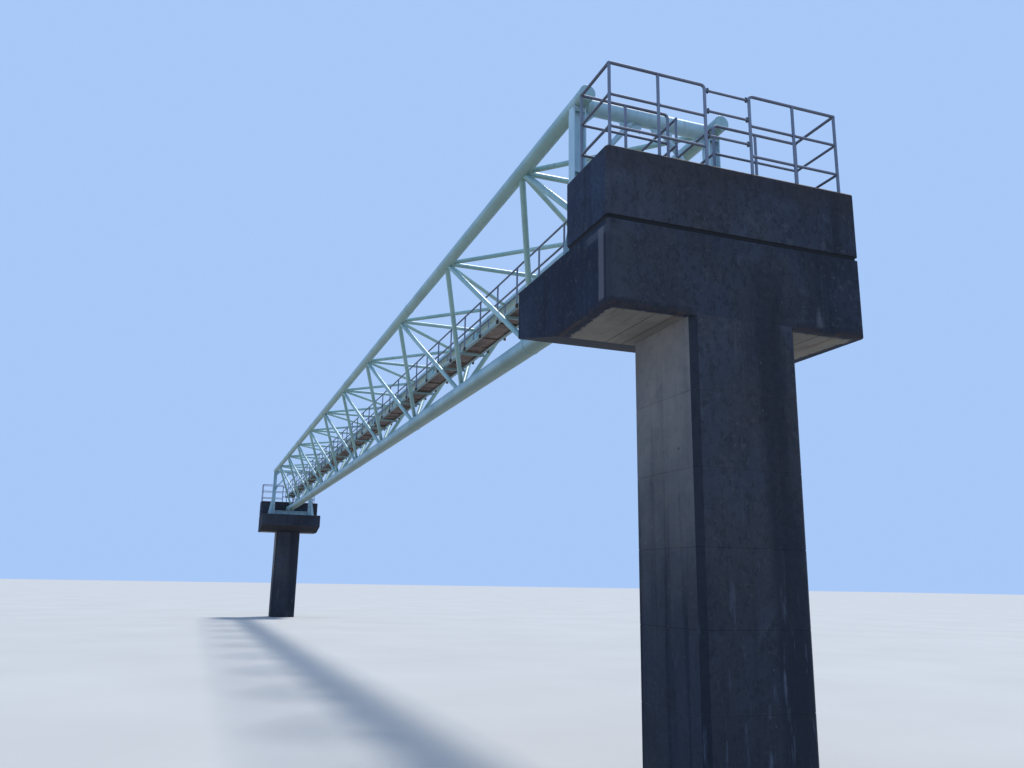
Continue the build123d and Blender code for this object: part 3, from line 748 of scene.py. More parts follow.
def carve(o, cutter, mats):
    """Cuts the mesh of a Build out of o and keeps the result as plain mesh."""
    me = bpy.data.meshes.new("cutter")
    me.from_pydata(cutter.v, [], cutter.f)
    me.update()
    c = bpy.data.objects.new("cutter", me)
    bpy.context.scene.collection.objects.link(c)
    mod = o.modifiers.new("cut", "BOOLEAN")
    mod.operation = "DIFFERENCE"
    mod.solver = "EXACT"
    mod.use_self = True
    mod.object = c
    bpy.context.view_layer.update()
    dg = bpy.context.evaluated_depsgraph_get()
    new = bpy.data.meshes.new_from_object(o.evaluated_get(dg))
    o.modifiers.clear()
    old = o.data
    o.data = new
    bpy.data.meshes.remove(old)
    bpy.data.objects.remove(c)
    bpy.data.meshes.remove(me)
    new.materials.clear()
    for m in mats:
        new.materials.append(m)
    new.polygons.foreach_set("material_index", [0] * len(new.polygons))
    new.polygons.foreach_set("use_smooth", [False] * len(new.polygons))
    new.update()


def face_points(b, pts, normal, r, depth):
    """Small cone recesses in a flat face."""
    nrm = Vector(normal)
    for p in pts:
        p = Vector(p)
        u, v, d = basis(nrm)
        skin(b, [ring(p + nrm * 0.004, u, v, r * 1.12, 14), ring(p - nrm * depth, u, v, r * 0.72, 14)], 0, False)


def pier(end, sx):
    X = lambda depth: sx * (HALF - depth)

    def span(d0, d1):
        return tuple(sorted((X(d0), X(d1))))

    g, gd, o = 0.0022, 0.0024, 0.05
    # ---- column, its top let into the sloping soffit
    ch = 0.038
    w0, w1 = COL_Y - COL_W, COL_Y + COL_W
    x0, x1 = span(0, COL_D)
    poly = [(x0 + ch, w0), (x1 - ch, w0), (x1, w0 + ch), (x1, w1 - ch), (x1 - ch, w1), (x0 + ch, w1), (x0, w1 - ch), (x0, w0 + ch)]
    col = solid_object(end + "_column_cast", poly, "z", 0.0, COL_H + 0.0094, [], sx)
    cut = Build()
    # board joints every 450 mm up
    lifts = [COL_H - 0.45 * k for k in range(1, 7)]
    for z in lifts:
        if z < 0.03:
            continue
        inner = inset(poly, gd)
        outer = inset(poly, -0.05)
        rings = [[Vector((p[0], p[1], h)) for p in pl] for pl, h in ((outer, z - g), (outer, z + g), (inner, z + g), (inner, z - g))]
        skin(cut, rings, 0, False, closed=True)
    holes, plugs = [], []
    zs = [2.605 - 0.2945 * k for k in range(9)]
    for face_x, nx in ((x0, -1), (x1, 1)):
        for i, z in enumerate(zs):
            if z < 0.1:
                continue
            holes.append(((face_x, 0.135, z), (nx, 0, 0)))
            plugs.append(((face_x, -0.10 + 0.003 * i, z - 0.12), (nx, 0, 0)))
            if i % 3 == 1:
                holes.append(((face_x, -0.250, z - 0.15), (nx, 0, 0)))
            if i % 4 == 2:
                plugs.append(((face_x, 0.262, z + 0.04), (nx, 0, 0)))
    for sy, w in ((1, w1), (-1, w0)):
        for d in (0.19, 0.52):
            for i, z in enumerate(zs):
                if z > 0.1 and (i + (d > 0.3)) % 2 == 0:
                    (holes if (i // 2) % 2 == 0 else plugs).append(((X(d), w, z + (0.06 if d > 0.3 else -0.06)), (0, sy, 0)))
    for p, nrm in holes:
        face_points(cut, [p], nrm, 0.0065, 0.008)
    carve(col, cut, [CON["column"]])
    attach(col, "root")
    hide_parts(end + "_column")

    # ---- cap
    pts = [(X(0), COL_H), (X(KINK), COL_H), (X(CAP_D), LEDGE - CAP_BACK), (X(CAP_D), LEDGE), (X(0), LEDGE)]
    if sx > 0:
        pts = pts[::-1]
    on_side = lambda c: abs(abs(c.y) - WIDE) < 1e-3
    upright = lambda c, d, l: abs(d.z) > 0.99 and on_side(c)
    cap = solid_object(
        end + "_cap_cast",
        pts,
        "y",
        -WIDE,
        WIDE,
        [
            (upright, 0.020),
            (lambda c, d, l: abs(c.z - COL_H) < 1e-3 and abs(abs(c.x) - (HALF - KINK)) > 1e-2, 0.010),
            (lambda c, d, l: abs(c.z - LEDGE) < 1e-4 and (abs(c.x) < HALF - 0.7 or on_side(c) or abs(abs(c.x) - HALF) < 1e-3), 0.008),
        ],
        sx,
    )
    cut = Build()
    cx0, cx1 = span(0, CAP_D)
    # board joints of the level soffit, on the left overhang and on the right one
    kx0, kx1 = span(-o, KINK)
    for y in (0.575, -0.602):
        block(cut, (kx0, y - g, COL_H - o), (kx1, y + g, COL_H + gd))
    kx0, kx1 = span(KINK + 0.02, CAP_D + o)
    for sy in (1, -1):
        for d in (0.22, 0.50, 0.92, 1.2):
            for z in (2.92, 3.12):
                if d > 0.9 and z < 3.0:
                    continue
                face_points(cut, [(X(d), sy * WIDE, z)], (0, sy, 0), 0.0065, 0.008)
    for y in (0.74, 0.3, -0.28, -0.7):
        face_points(cut, [(X(CAP_D), y, 3.10)], (-sx, 0, 0), 0.0065, 0.008)
        for z in (2.89, 3.11):
            plugs.append(((X(0), y, z), (sx, 0, 0)))
    carve(cap, cut, [CON["cap"]])
    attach(cap, "root")
    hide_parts(end + "_cap")

    # ---- upper block on its neck
    bx0, bx1 = span(0, BLOCK_D)
    poly = [(bx0, -WIDE), (bx1, -WIDE), (bx1, WIDE), (bx0, WIDE)]
    up = solid_object(
        end + "_block_cast",
        poly,
        "z",
        LEDGE + JOINT_H,
        PLAT,
        [
            (lambda c, d, l: abs(d.z) > 0.99, 0.020),
            (lambda c, d, l: abs(d.z) < 0.1 and abs(c.z - PLAT) < 1e-4, 0.008),
            (lambda c, d, l: abs(d.z) < 0.1 and abs(c.z - LEDGE - JOINT_H) < 1e-4, 0.004),
        ],
        sx,
    )
    cut = Build()
    for y in (0.68, -0.68):
        face_points(cut, [(X(BLOCK_D), y, 3.60)], (-sx, 0, 0), 0.0065, 0.008)
        for z in (3.40, 3.62):
            plugs.append(((X(0), y, z), (sx, 0, 0)))
    for sy in (1, -1):
        for d in (0.14, 0.44):
            for z in (3.40, 3.62):
                face_points(cut, [(X(d), sy * WIDE, z)], (0, sy, 0), 0.0065, 0.008)
    carve(up, cut, [CON["block"]])
    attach(up, "root")
    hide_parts(end + "_block")
    neck = Build()
    e = JOINT_D
    poly = [(bx0 + e, -WIDE + e), (bx1 - e, -WIDE + e), (bx1 - e, WIDE - e), (bx0 + e, WIDE - e)]
    c_ = 0.02
    corners = []
    for i, (px, py) in enumerate(poly):
        qx, qy = poly[i - 1]
        rx, ry = poly[(i + 1) % 4]
        for tx, ty in ((qx, qy), (rx, ry)):
            d = Vector((tx - px, ty - py)).normalized() * c_
            corners.append((px + d.x, py + d.y))
    prism(neck, corners, (0, 0, 0), (1, 0, 0), (0, 1, 0), LEDGE - 0.002, LEDGE + JOINT_H + 0.006, 0.0)
    neck.piece(end + "_joint_neck", [JOINT], "concrete")

    # ---- mortar plugs
    pl = Build()
    for p, nrm in plugs:
        n_ = Vector(nrm)
        u, v, d = basis(n_)
        c = Vector(p)
        skin(pl, [ring(c - n_ * 0.002, u, v, 0.0080, 14), ring(c + n_ * 0.0006, u, v, 0.0077, 14), ring(c + n_ * 0.0012, u, v, 0.0055, 14)], 0, True)
    pl.piece(end + "_tie_plugs", [MORTAR], "concrete")


for end, sx in (("near", -1.0), ("far", 1.0)):
    pier(end, sx)


# ------------------------------------------------------------------ portal frames
def h_section(size, flange, web, fillet=0.008):
    """An H outline, flanges across u, web along v."""
    s, t, w = size / 2, flange, web / 2
    out = []
    k = 3

    def arc(cx, cy, a0, a1):
        for i in range(k + 1):
            a = math.radians(a0 + (a1 - a0) * i / k)
            out.append((cx + fillet * math.cos(a), cy + fillet * math.sin(a)))

    out += [(-s, -s), (s, -s), (s, -s + t)]
    arc(w + fillet, -s + t + fillet, 270, 180)
    arc(w + fillet, s - t - fillet, 180, 90)
    out += [(s, s - t), (s, s), (-s, s), (-s, s - t)]
    arc(-w - fillet, s - t - fillet, 90, 0)
    arc(-w - fillet, -s + t + fillet, 0, -90)
    out += [(-s, -s + t)]
    return out


def portal(end, sx):
    xf = sx * XF
    posts, bolts, welds = Build(), Build(), Build()
    for sy in (1.0, -1.0):
        z0 = LEDGE + 0.012
        # base plate
        ya, yb = sorted((sy * 0.496, sy * 0.751))
        block(posts, (xf - 0.1, ya, LEDGE), (xf + 0.1, yb, z0), 0.0015)
        # the section, cut to a seat under the chord
        sec = h_section(POST_S, 0.008, 0.006)
        prism(posts, sec, (xf, sy * POST_Y, 0), (1, 0, 0), (0, 1, 0), z0, CHORD_Z - 0.045)
        # a stiffener plate closes the section under the chord, and two lower down
        for z in (CHORD_Z - 0.075, 4.126, z0 + 0.30):
            for s in (-1, 1):
                a, c = sorted((xf + s * 0.0035, xf + s * 0.046))
                block(posts, (a, sy * POST_Y - 0.0415, z), (c, sy * POST_Y + 0.0415, z + 0.006), 0.001)
        # cheeks that hold the chord
        for s in (-1, 1):
            xa = xf + s * 0.043
            cheek = [(-0.05, -0.085)]
            for i in range(13):
                a = math.radians(200 + 140 * i / 12)
                cheek.append((sy * (CHORD_Y - POST_Y) + CHORD_R * math.cos(a), CHORD_R * math.sin(a)))
            cheek += [(0.05, -0.085)]
            cheek = [(max(-0.05, min(0.05, p[0])), p[1]) for p in cheek]
            prism(posts, cheek, (xa, sy * POST_Y, CHORD_Z), (0, 1, 0), (0, 0, 1), -0.003, 0.003, 0.0)
        # tapering wedge outside, with a nosing
        yo = POST_Y + POST_S / 2
        wedge = [(sy * yo, z0), (sy * (yo + 0.1), z0), (sy * (yo + 0.1), z0 + 0.03), (sy * (yo + 0.012), z0 + 0.5), (sy * yo, z0 + 0.5)]
        prism(posts, wedge, (xf, 0, 0), (0, 1, 0), (0, 0, 1), -0.003, 0.003, 0.0008)
        # short stiffeners along X at the foot
        for s in (-1, 1):
            for dy in (-0.046, 0.046):
                tri = [(s * 0.05, z0), (s * 0.092, z0), (s * 0.092, z0 + 0.015), (s * 0.05, z0 + 0.13)]
                prism(posts, tri, (0 + xf, sy * POST_Y + dy, 0), (1, 0, 0), (0, 0, 1), -0.003, 0.003, 0.0006)
        # beads at the foot
        for s in (-1, 1):
            tube(welds, (xf + s * 0.05 - 0.1 * (s > 0), sy * POST_Y - 0.05, z0 + 0.001), (xf + s * 0.05 + 0.1 * (s < 0), sy * POST_Y - 0.05, z0 + 0.001), 0.0032, 8)
        # anchor bolts
        for s in (-1, 1):
            for yy in (0.517, 0.625, 0.735):
                if yy == 0.625:
                    bolt(bolts, (xf + s * 0.083, sy * 0.661, z0), (0, 0, 1), 0.0065, 0.016)
                else:
                    bolt(bolts, (xf + s * 0.080, sy * (yy - 0.004), z0), (0, 0, 1), 0.0065, 0.016)
    posts.piece(end + "_portal_posts", [BLUE], "truss_paint", [end + "_post_left", end + "_post_right"])
    bolts.piece(end + "_anchor_bolts", [BOLT], "truss_paint")

    # crossbeam with end collars
    beam = Build()
    yb = CHORD_Y - 0.045
    tube(beam, (xf, -yb, BEAM_Z), (xf, yb, BEAM_Z), BEAM_R, 40)
    for sy in (1, -1):
        hoop(welds, (xf, sy * 0.52, BEAM_Z), (0, 1, 0), BEAM_R + 0.001, 0.004, 40)
        # gusset between crossbeam and knee brace, with a scalloped lower edge
        ax, az = sy * 0.10, BEAM_Z - 0.02
        g = [(sy * 0.03, BEAM_Z - 0.055), (sy * 0.05, BEAM_Z - 0.10)]
        for i in range(9):
            a = math.radians(180 - 100 * i / 8)
            g.append((sy * (0.115 + 0.055 * math.cos(a)), BEAM_Z - 0.135 + 0.018 * math.sin(a)))
        g += [(sy * 0.215, BEAM_Z - 0.155), (sy * 0.235, BEAM_Z - 0.055)]
        prism(beam, g, (xf, 0, 0), (0, 1, 0), (0, 0, 1), -0.004, 0.004, 0.0006)
        # upright end gusset to the post
        g2 = [(sy * 0.536, BEAM_Z - 0.16), (sy * 0.536, BEAM_Z - 0.05), (sy * 0.43, BEAM_Z - 0.055), (sy * 0.47, BEAM_Z - 0.095), (sy * 0.51, BEAM_Z - 0.135)]
        prism(beam, g2, (xf, 0, 0), (0, 1, 0), (0, 0, 1), -0.004, 0.004, 0.0006)
    beam.piece(end + "_portal_beam", [BLUE], "truss_paint", [end + "_crossbeam"])

    knees = Build()
    for sy in (1, -1):
        low = Vector((xf, sy * 0.541, 4.141))
        high = Vector((xf, sy * 0.125, 4.655))
        run = (high - low).normalized()
        tube(knees, low, high, 0.0225, 24)
        # flattened gusset at the post
        u = Vector((0, run.y, run.z))
        g = [(0.536, 4.041), (0.536, 4.221), (0.511, 4.246), (0.466, 4.256), (0.451, 4.236), (0.496, 4.131)]
        prism(knees, [(sy * p[0], p[1]) for p in g], (xf, 0, 0), (0, 1, 0), (0, 0, 1), -0.004, 0.004, 0.0006)
        hoop(welds, low + run * 0.05, run, 0.0228, 0.003, 24)
        hoop(welds, high - run * 0.02, run, 0.0228, 0.003, 24)
    knees.piece(end + "_knees", [BLUE], "truss_paint", [end + "_knee_braces"])

    # sill, an I section lying between the posts, with stiffeners
    sill = Build()
    z0 = LEDGE + 0.012
    s_out = h_section(0.1, 0.008, 0.006, 0.006)
    s_out = [(p[0], p[1] * 1.2) for p in s_out]
    prism(sill, s_out, (xf, 0, z0 + 0.06), (1, 0, 0), (0, 0, 1), -0.536, 0.536)
    for y in (-0.43, -0.26, -0.085, 0.085, 0.26, 0.43):
        for s in (-1, 1):
            a, c = sorted((xf + s * 0.0035, xf + s * 0.046))
            block(sill, (a, y - 0.003, z0 + 0.010), (c, y + 0.003, z0 + 0.110), 0.0008)
    sill.piece(end + "_sill_beam", [BLUE], "truss_paint", [end + "_sill"])

    # saddle: a wrapped collar, its two side lugs and the pedestal
    sad = Build()
    ringp = []
    n = 48
    for i in range(n):
        a = 2 * math.pi * i / n
        ringp.append((math.cos(a), math.sin(a)))
    rings = []
    for r, x in ((0.0975, -0.030), (0.1055, -0.030), (0.107, -0.0285), (0.107, 0.0285), (0.1055, 0.030), (0.0975, 0.030)):
        rings.append([Vector((xf + x, r * p[0], PIPE_Z + r * p[1])) for p in ringp])
    skin(sad, rings, 0, True, closed=True)
    for s in (-1, 1):
        a, c = sorted((s * 0.1025, s * 0.142))
        block(sad, (xf - 0.028, a, PIPE_Z - 0.0165), (xf + 0.028, c, PIPE_Z - 0.0085), 0.001)
        block(sad, (xf - 0.028, a, PIPE_Z - 0.0075), (xf + 0.028, c, PIPE_Z + 0.0005), 0.001)
        for q in (-0.014, 0.014):
            bolt(bolts_s, (xf + q, s * 0.124, PIPE_Z + 0.0005), (0, 0, 1), 0.0045, 0.006)
    ped = [(-0.075, z0 + 0.120), (0.075, z0 + 0.120), (0.075, PIPE_Z - 0.075)]
    for i in range(13):
        a = math.radians(-48 - 84 * i / 12)
        ped.append((0.105 * math.cos(a), PIPE_Z + 0.105 * math.sin(a)))
    ped.append((-0.075, PIPE_Z - 0.075))
    for x in (-0.024, 0.0, 0.024):
        prism(sad, ped, (xf + x, 0, 0), (0, 1, 0), (0, 0, 1), -0.003, 0.003, 0.0006)
    block(sad, (xf - 0.03, -0.075, z0 + 0.120), (xf + 0.03, 0.075, z0 + 0.127), 0.001)
    sad.piece(end + "_saddle_collar", [BLUE], "truss_paint", [end + "_pipe_saddle"])
    welds.piece(end + "_portal_welds", [MINT_WELD], "truss_paint")


bolts_s = Build()
for end, sx in (("near", -1.0), ("far", 1.0)):
    portal(end, sx)
bolts_s.piece("saddle_bolts", [BOLT], "truss_paint")


# ------------------------------------------------------------------ chords and main pipe
weld = Build()
for side, sy in (("left", 1.0), ("right", -1.0)):
    b = Build()
    y = sy * CHORD_Y
    tube(b, (-CHORD_END, y, CHORD_Z), (CHORD_END, y, CHORD_Z), CHORD_R, 56, edge=0.003)
    for s in (-1, 1):
        # a closing disc with a shallow rim
        tube(b, (s * (CHORD_END - 0.012), y, CHORD_Z), (s * (CHORD_END - 0.001), y, CHORD_Z), CHORD_R + 0.0015, 56, edge=0.001)
    b.piece("chord_tube_" + side, [CHORD], "truss_paint", ["top_chord_" + side])
    for x in [-XF + PANEL * (i + 0.25) for i in (2, 4, 6, 8)]:
        hoop(weld, (x, y, CHORD_Z), (1, 0, 0), CHORD_R + 0.0005, 0.0035, 48)
weld.piece("chord_welds", [MINT_WELD], "truss_paint")

b = Build()
PIPE_END = HALF - BLOCK_D
tube(b, (-PIPE_END, 0, PIPE_Z), (PIPE_END, 0, PIPE_Z), PIPE_R, 72)
b.piece("carried_pipe", [PIPE], "truss_paint", ["main_pipe"])
pw = Build()
for x in [-XF + PANEL * i for i in (1, 3, 5, 7, 9)]:
    hoop(pw, (x, 0, PIPE_Z), (1, 0, 0), PIPE_R + 0.0005, 0.004, 64)
for s in (-1, 1):
    # wall collar where the pipe enters the concrete
    xa = s * (PIPE_END - 0.0)
    u, v, d = basis(Vector((-s, 0, 0)))
    c = Vector((xa, 0, PIPE_Z))
    skin(pw, [ring(c, u, v, 0.122, 48), ring(c + d * 0.008, u, v, 0.122, 48), ring(c + d * 0.010, u, v, 0.120, 48), ring(c + d * 0.010, u, v, 0.0968, 48)], 0, True)
pw.piece("pipe_welds_and_collars", [MINT_WELD], "truss_paint")

# ------------------------------------------------------------------ web and bracing tubes
for side, sy in (("left", 1.0), ("right", -1.0)):
    b, w = Build(), Build()
    for k in range(PANELS):
        top = (node_x(k + 0.5), sy * CHORD_Y, CHORD_Z)
        for fx in (node_x(k) + FOOT, node_x(k + 1) - FOOT):
            coped(b, top, (fx, 0, PIPE_Z), WEB_R, leave(sy * CHORD_Y, CHORD_Z, CHORD_R), leave(0, PIPE_Z, PIPE_R), 24, 0, w)
    b.piece("web_tubes_" + side, [MINT], "truss_paint", ["web_" + side])
    w.piece("web_welds_" + side, [MINT_WELD], "truss_paint")

b, w = Build(), Build()
for k in range(PANELS):
    left = (node_x(k + 0.5), CHORD_Y, CHORD_Z)
    for t in (k, k + 0.5, k + 1):
        coped(b, left, (node_x(t), -CHORD_Y, CHORD_Z), BAR_R, leave(CHORD_Y, CHORD_Z, CHORD_R), leave(-CHORD_Y, CHORD_Z, CHORD_R), 24, 0, w)
b.piece("bracing_tubes", [MINT], "truss_paint", ["top_bracing"])
w.piece("bracing_welds", [MINT_WELD], "truss_paint")

# ------------------------------------------------------------------ walkway
DS = HALF - 0.45
for side, sy in (("left", 1.0), ("right", -1.0)):
    b = Build()
    # rolled angle, its inner corner filleted
    o = 0.139
    sec = [(o, 0.0), (o, 0.0293), (o - 0.0015, 0.030), (o - 0.005, 0.030), (o - 0.006, 0.029), (o - 0.006, 0.010), (o - 0.0075, 0.0073), (o - 0.011, 0.006), (o - 0.035, 0.006), (o - 0.036, 0.005), (o - 0.036, 0.0)]
    prism(b, [(sy * p[0], STR_Z + p[1]) for p in sec], (0, 0, 0), (0, 1, 0), (0, 0, 1), -DS, DS, 0.0)
    b.piece("deck_edge_" + side, [EDGE], "walkway_steel", ["walkway_stringer_" + side])

b = Build()
pw_ = 0.1325
n_plates = 21
L = 2 * DS / n_plates
for i in range(n_plates):
    xa = -DS + i * L
    block(b, (xa + 0.0012, -pw_, DECK_Z), (xa + L - 0.0012, pw_, DECK_Z + 0.006), 0.0012)
    # folded lip stiffener under each plate joint
    if i:
        block(b, (xa - 0.02, -pw_, DECK_Z - 0.006), (xa + 0.02, pw_, DECK_Z - 0.0005), 0.001)
rib_n = int(2 * DS // 0.610) + 1
rib0 = -(rib_n - 1) * 0.610 / 2
for i in range(rib_n):
    x = rib0 + i * 0.610
    block(b, (x - 0.004, -pw_, STR_Z + 0.006), (x + 0.004, pw_, DECK_Z + 0.0005), 0.001)
    block(b, (x - 0.004, -pw_, STR_Z + 0.006), (x + 0.016, pw_, STR_Z + 0.0085), 0.0008)
b.piece("deck_plates", [UNDER], "walkway_steel", ["walkway_deck"])

# bearers between the web tubes, as small channels with cleats
b, bb = Build(), Build()
fall = (CHORD_Z - STR_Z + 0.012) / (CHORD_Z - PIPE_Z)
BR = STR_Z - 0.024
bearer_x = []
for k in range(PANELS):
    for fx in (node_x(k) + FOOT, node_x(k + 1) - FOOT):
        bearer_x.append(node_x(k + 0.5) + (fx - node_x(k + 0.5)) * fall)
for x in bearer_x:
    y = 0.579 * (BR + 0.012 - PIPE_Z) / (CHORD_Z - PIPE_Z) - 0.018
    sec = [(-0.015, BR), (0.015, BR), (0.015, BR + 0.004), (-0.011, BR + 0.004), (-0.011, BR + 0.020), (0.015, BR + 0.020), (0.015, BR + 0.024), (-0.015, BR + 0.024)]
    prism(b, sec, (x, 0, 0), (1, 0, 0), (0, 0, 1), -y, y, 0.0)
    for sy in (1, -1):
        for yy in (0.112,):
            bolt(bb, (x, sy * yy, STR_Z + 0.006), (0, 0, 1), 0.004, 0.004)
            bolt(bb, (x + 0.004, sy * yy, BR), (0, 0, -1), 0.004, 0.004)
b.piece("deck_bearers", [EDGE], "walkway_steel", ["walkway_bearers"])
bb.piece("deck_bolts", [BOLT], "walkway_steel")

b = Build()
for s in (-1, 1):
    xt = s * (HALF - 0.51)
    for sy in (1, -1):
        y = sy * 0.115
        sec = [(-0.015, -0.012), (0.015, -0.012), (0.015, -0.0085), (-0.0115, -0.0085), (-0.0115, 0.012), (-0.015, 0.012)]
        prism(b, [(p[0], sy * p[1]) for p in sec], (xt, y, 0), (1, 0, 0), (0, 1, 0), PLAT, BR)
        block(b, (xt - 0.03, y - 0.025, PLAT), (xt + 0.03, y + 0.025, PLAT + 0.006), 0.001)
        for q in (-0.02, 0.02):
            bolt(b, (xt + q, y + sy * 0.016, PLAT + 0.006), (0, 0, 1), 0.003, 0.003)
    sec = [(-0.015, BR), (0.015, BR), (0.015, BR + 0.004), (-0.011, BR + 0.004), (-0.011, BR + 0.024), (-0.015, BR + 0.024)]
    prism(b, sec, (xt, 0, 0), (1, 0, 0), (0, 0, 1), -0.139, 0.139)
b.piece("deck_end_trestles", [EDGE], "walkway_steel", ["walkway_end_trestles"])

# handrails of the walkway
PS = HALF - 0.466
BAY = HALF - 1.185
POSTS = [-PS] + [-BAY + i * BAY / 20 for i in range(41)] + [PS]
RZ, RM = 4.311, 4.111
for side, sy in (("left", 1.0), ("right", -1.0)):
    b, w, c = Build(), Build(), Build()
    y = sy * 0.150
    for z in (RZ, RM):
        tube(b, (-PS - (0.01 if z == RZ else 0), y, z), (PS + (0.01 if z == RZ else 0), y, z), 0.010, 16, edge=0.001)
    for x in POSTS:
        tube(b, (x, y, STR_Z - (0.016 if sy > 0 else 0.012)), (x, y, RZ), 0.0095, 14)
        hoop(w, (x, y, RZ - 0.0105), (0, 0, 1), 0.0098, 0.002, 14, 5)
        hoop(w, (x, y, RM - 0.0105), (0, 0, 1), 0.0098, 0.002, 14, 5)
        hoop(w, (x, y, RM + 0.0105), (0, 0, 1), 0.0098, 0.002, 14, 5)
        # foot clamp bolted against the edge angle
        low = STR_Z - (0.022 if sy > 0 else 0.016)
        block(c, (x - 0.014, y - 0.011, low), (x + 0.014, y + 0.011, STR_Z + 0.020), 0.0025)
        for q in (STR_Z - 0.011, STR_Z + 0.009):
            bolt(c, (x, y + sy * 0.011, q), (0, sy, 0), 0.0032, 0.002, 1)
    b.piece("handrail_" + side, [RAIL], "rail_paint", ["walkway_rail_" + side])
    w.piece("handrail_welds_" + side, [RAIL], "rail_paint")
    c.piece("handrail_clamps_" + side, [CLAMP, BOLT], "rail_paint")


# ------------------------------------------------------------------ platform guards
def guards(end, sx):
    b, w, f = Build(), Build(), Build()
    X = lambda d: sx * (HALF - d)
    top, mid, low = 4.299, 4.084, 3.869
    R, RL = 0.0106, 0.0092
    for name, d, cy, gy in (("fl", 0.025, 0.885, 0.205), ("fr", 0.025, -0.815, -0.133), ("bl", 0.425, 0.885, 0.240), ("br", 0.425, -0.815, -0.124)):
        x = X(d)
        my = (cy + gy) / 2
        sweep(b, arc_path([(x, cy, top), (x, gy, top), (x, gy, PLAT)], 0.028, 9), R, 18)
        for yy in (cy, my):
            tube(b, (x, yy, PLAT), (x, yy, top), R - 0.0002, 18)
        s = 1 if gy > cy else -1
        for z in (mid, low):
            tube(b, (x, cy, z), (x, gy, z), RL, 16)
            for q in (my - 0.0104, my + 0.0104, gy - s * 0.0104, cy + s * 0.0104):
                hoop(w, (x, q, z), (0, 1, 0), RL + 0.0003, 0.0020, 16, 5)
        for yy in (my, cy):
            hoop(w, (x, yy, top - 0.0106), (0, 0, 1), R, 0.0020, 16, 5)
        for yy in (my, gy, cy):
            u, v, q = basis(Vector((0, 0, 1)))
            c = Vector((x, yy, PLAT))
            skin(f, [ring(c, u, v, 0.0165, 20), ring(c + q * 0.0022, u, v, 0.0160, 20), ring(c + q * 0.0050, u, v, 0.0112, 20), ring(c + q * 0.0050, u, v, 0.0100, 20)], 0, True)
    for yg in (0.885, -0.815):
        for z, r in ((top, R), (mid, RL), (low, RL)):
            tube(b, (X(0.025), yg, z), (X(0.425), yg, z), r, 18)
            for d, s in ((0.025, -sx), (0.425, sx)):
                hoop(w, (X(d) + s * 0.0104, yg, z), (1, 0, 0), r + 0.0003, 0.0020, 16, 5)
        for d in (0.025, 0.425):
            u, v, q = basis(Vector((0, 0, 1)))
            c = Vector((X(d), yg, top))
            skin(b, [ring(c + q * z_, u, v, r_, 18) for z_, r_ in ((-0.004, 0.0106), (0.004, 0.0102), (0.0082, 0.0073), (0.0104, 0.003))], 0, True)
    names = ["front_left", "front_right", "back_left", "back_right", "left", "right"]
    b.piece(end + "_guard_tubes", [RAIL], "rail_paint", [end + "_guard_" + n for n in names])
    w.piece(end + "_guard_welds", [RAIL], "rail_paint")
    f.piece(end + "_guard_collars", [MORTAR], "rail_paint")

    # the three bars across the access gap, each with a rounded pin head at both ends
    b = Build()
    x = X(0.025)
    for z in (4.266, 4.122, 3.948):
        ya, yb = -0.133 + 0.0104, 0.205 - 0.0104
        tube(b, (x, ya, z), (x, yb, z), 0.0088, 16)
        for y in (0.183, -0.111):
            c = Vector((x, y, z))
            u, v, q = basis(Vector((0, 0, 1)))
            prof = ((-0.015, 0.0070), (-0.0138, 0.0092), (-0.009, 0.0100), (0.009, 0.0100), (0.0138, 0.0092), (0.015, 0.0070))
            skin(b, [ring(c + q * h, u, v, r, 16) for h, r in prof], 1, True)
            tube(b, (x, y, z - 0.020), (x, y, z + 0.020), 0.0035, 10, 1)
    b.piece(end + "_access_bars_fitted", [RAIL, KNOB], "rail_paint", [end + "_access_bars"])


for end, sx in (("near", -1.0), ("far", 1.0)):
    guards(end, sx)


# ------------------------------------------------------------------ CAD nodes that still show
fallback = {"concrete": CON["column"], "truss_paint": MINT, "rail_paint": RAIL, "walkway_steel": EDGE}
slots = {s["node"]: s.get("material_slot") for s in frame["record"].get("subparts", [])}
for name, o in frame["nodes"].items():
    if o.hide_render:
        continue
    o.data.materials.clear()
    o.data.materials.append(fallback.get(slots.get(name), MINT))

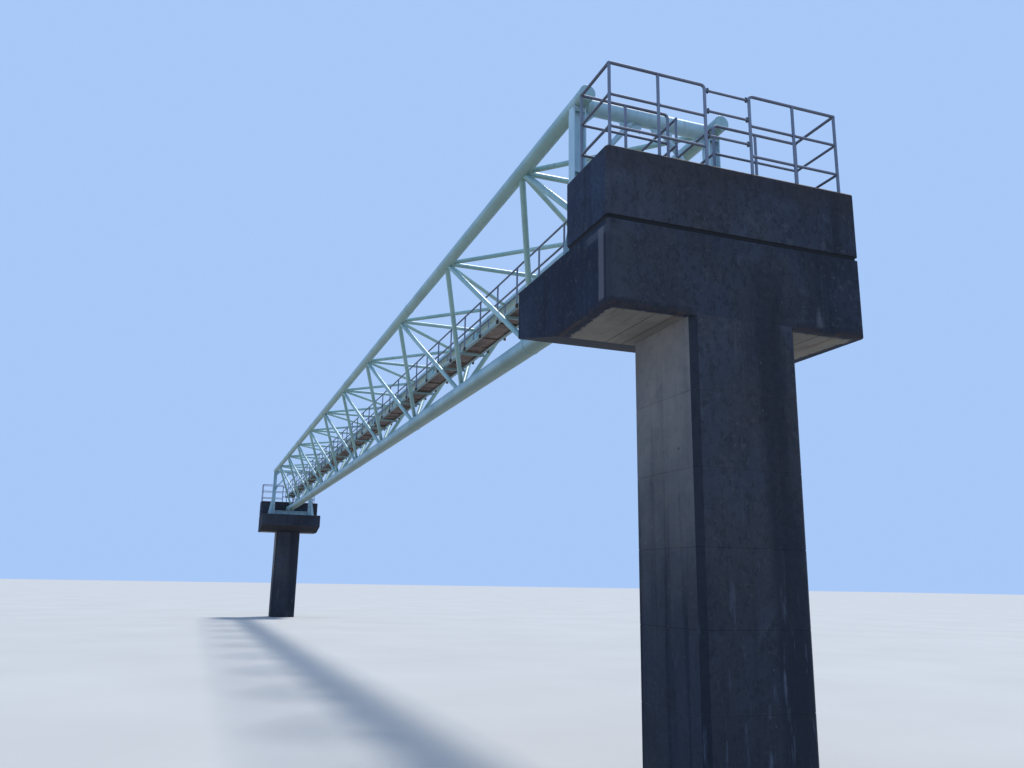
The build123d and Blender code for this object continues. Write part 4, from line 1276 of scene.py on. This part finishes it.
# ------------------------------------------------------------------ floor, light, camera
fm = Mat("floor_pale", rough=0.9, specular=0.2)
fcol = fm.ramp(fm.noise(0.4, 4, 0.5), [(0.3, (0.37, 0.37, 0.36, 1)), (0.7, (0.40, 0.40, 0.39, 1))])
floor_mat = fm.done(fcol)
me = bpy.data.meshes.new("floor")
S = 400.0
me.from_pydata([(-S, -S, -0.002), (S, -S, -0.002), (S, S, -0.002), (-S, S, -0.002)], [], [(0, 1, 2, 3)])
me.materials.append(floor_mat)
floor = bpy.data.objects.new("floor", me)
bpy.context.scene.collection.objects.link(floor)

world = bpy.data.worlds.new("studio")
bpy.context.scene.world = world
world.use_nodes = True
bg = world.node_tree.nodes["Background"]
bg.inputs[0].default_value = (0.42, 0.62, 1.0, 1.0)
bg.inputs[1].default_value = 0.94

sun = bpy.data.lights.new("key", "SUN")
sun.energy = 4.2
sun.angle = math.radians(9)
sun.color = (1.0, 0.965, 0.91)
so = bpy.data.objects.new("key", sun)
so.rotation_mode = "QUATERNION"
so.rotation_quaternion = Vector((-0.30, 0.33, -0.92)).to_track_quat("-Z", "Y")
bpy.context.scene.collection.objects.link(so)

yaw, pitch, roll = math.radians(20.1525), math.radians(13.1765), math.radians(0.9269)
f_ = Vector((math.cos(yaw) * math.cos(pitch), -math.sin(yaw) * math.cos(pitch), math.sin(pitch)))
r_ = Vector((-math.sin(yaw), -math.cos(yaw), 0.0))
u_ = r_.cross(f_)
r2 = r_ * math.cos(roll) + u_ * math.sin(roll)
u2 = -r_ * math.sin(roll) + u_ * math.cos(roll)
cam = bpy.data.cameras.new("view")
cam.sensor_width = 36.0
cam.lens = 855.04 / 1024.0 * 36.0
cam.clip_start, cam.clip_end = 0.05, 2000.0
co = bpy.data.objects.new("view", cam)
co.matrix_world = Matrix(((r2.x, u2.x, -f_.x, -17.2530), (r2.y, u2.y, -f_.y, 3.0253), (r2.z, u2.z, -f_.z, 1.1594), (0, 0, 0, 1)))
bpy.context.scene.collection.objects.link(co)
bpy.context.scene.camera = co

vs = bpy.context.scene.view_settings
vs.view_transform = "Standard"
vs.look = "None"
vs.exposure = 0.0
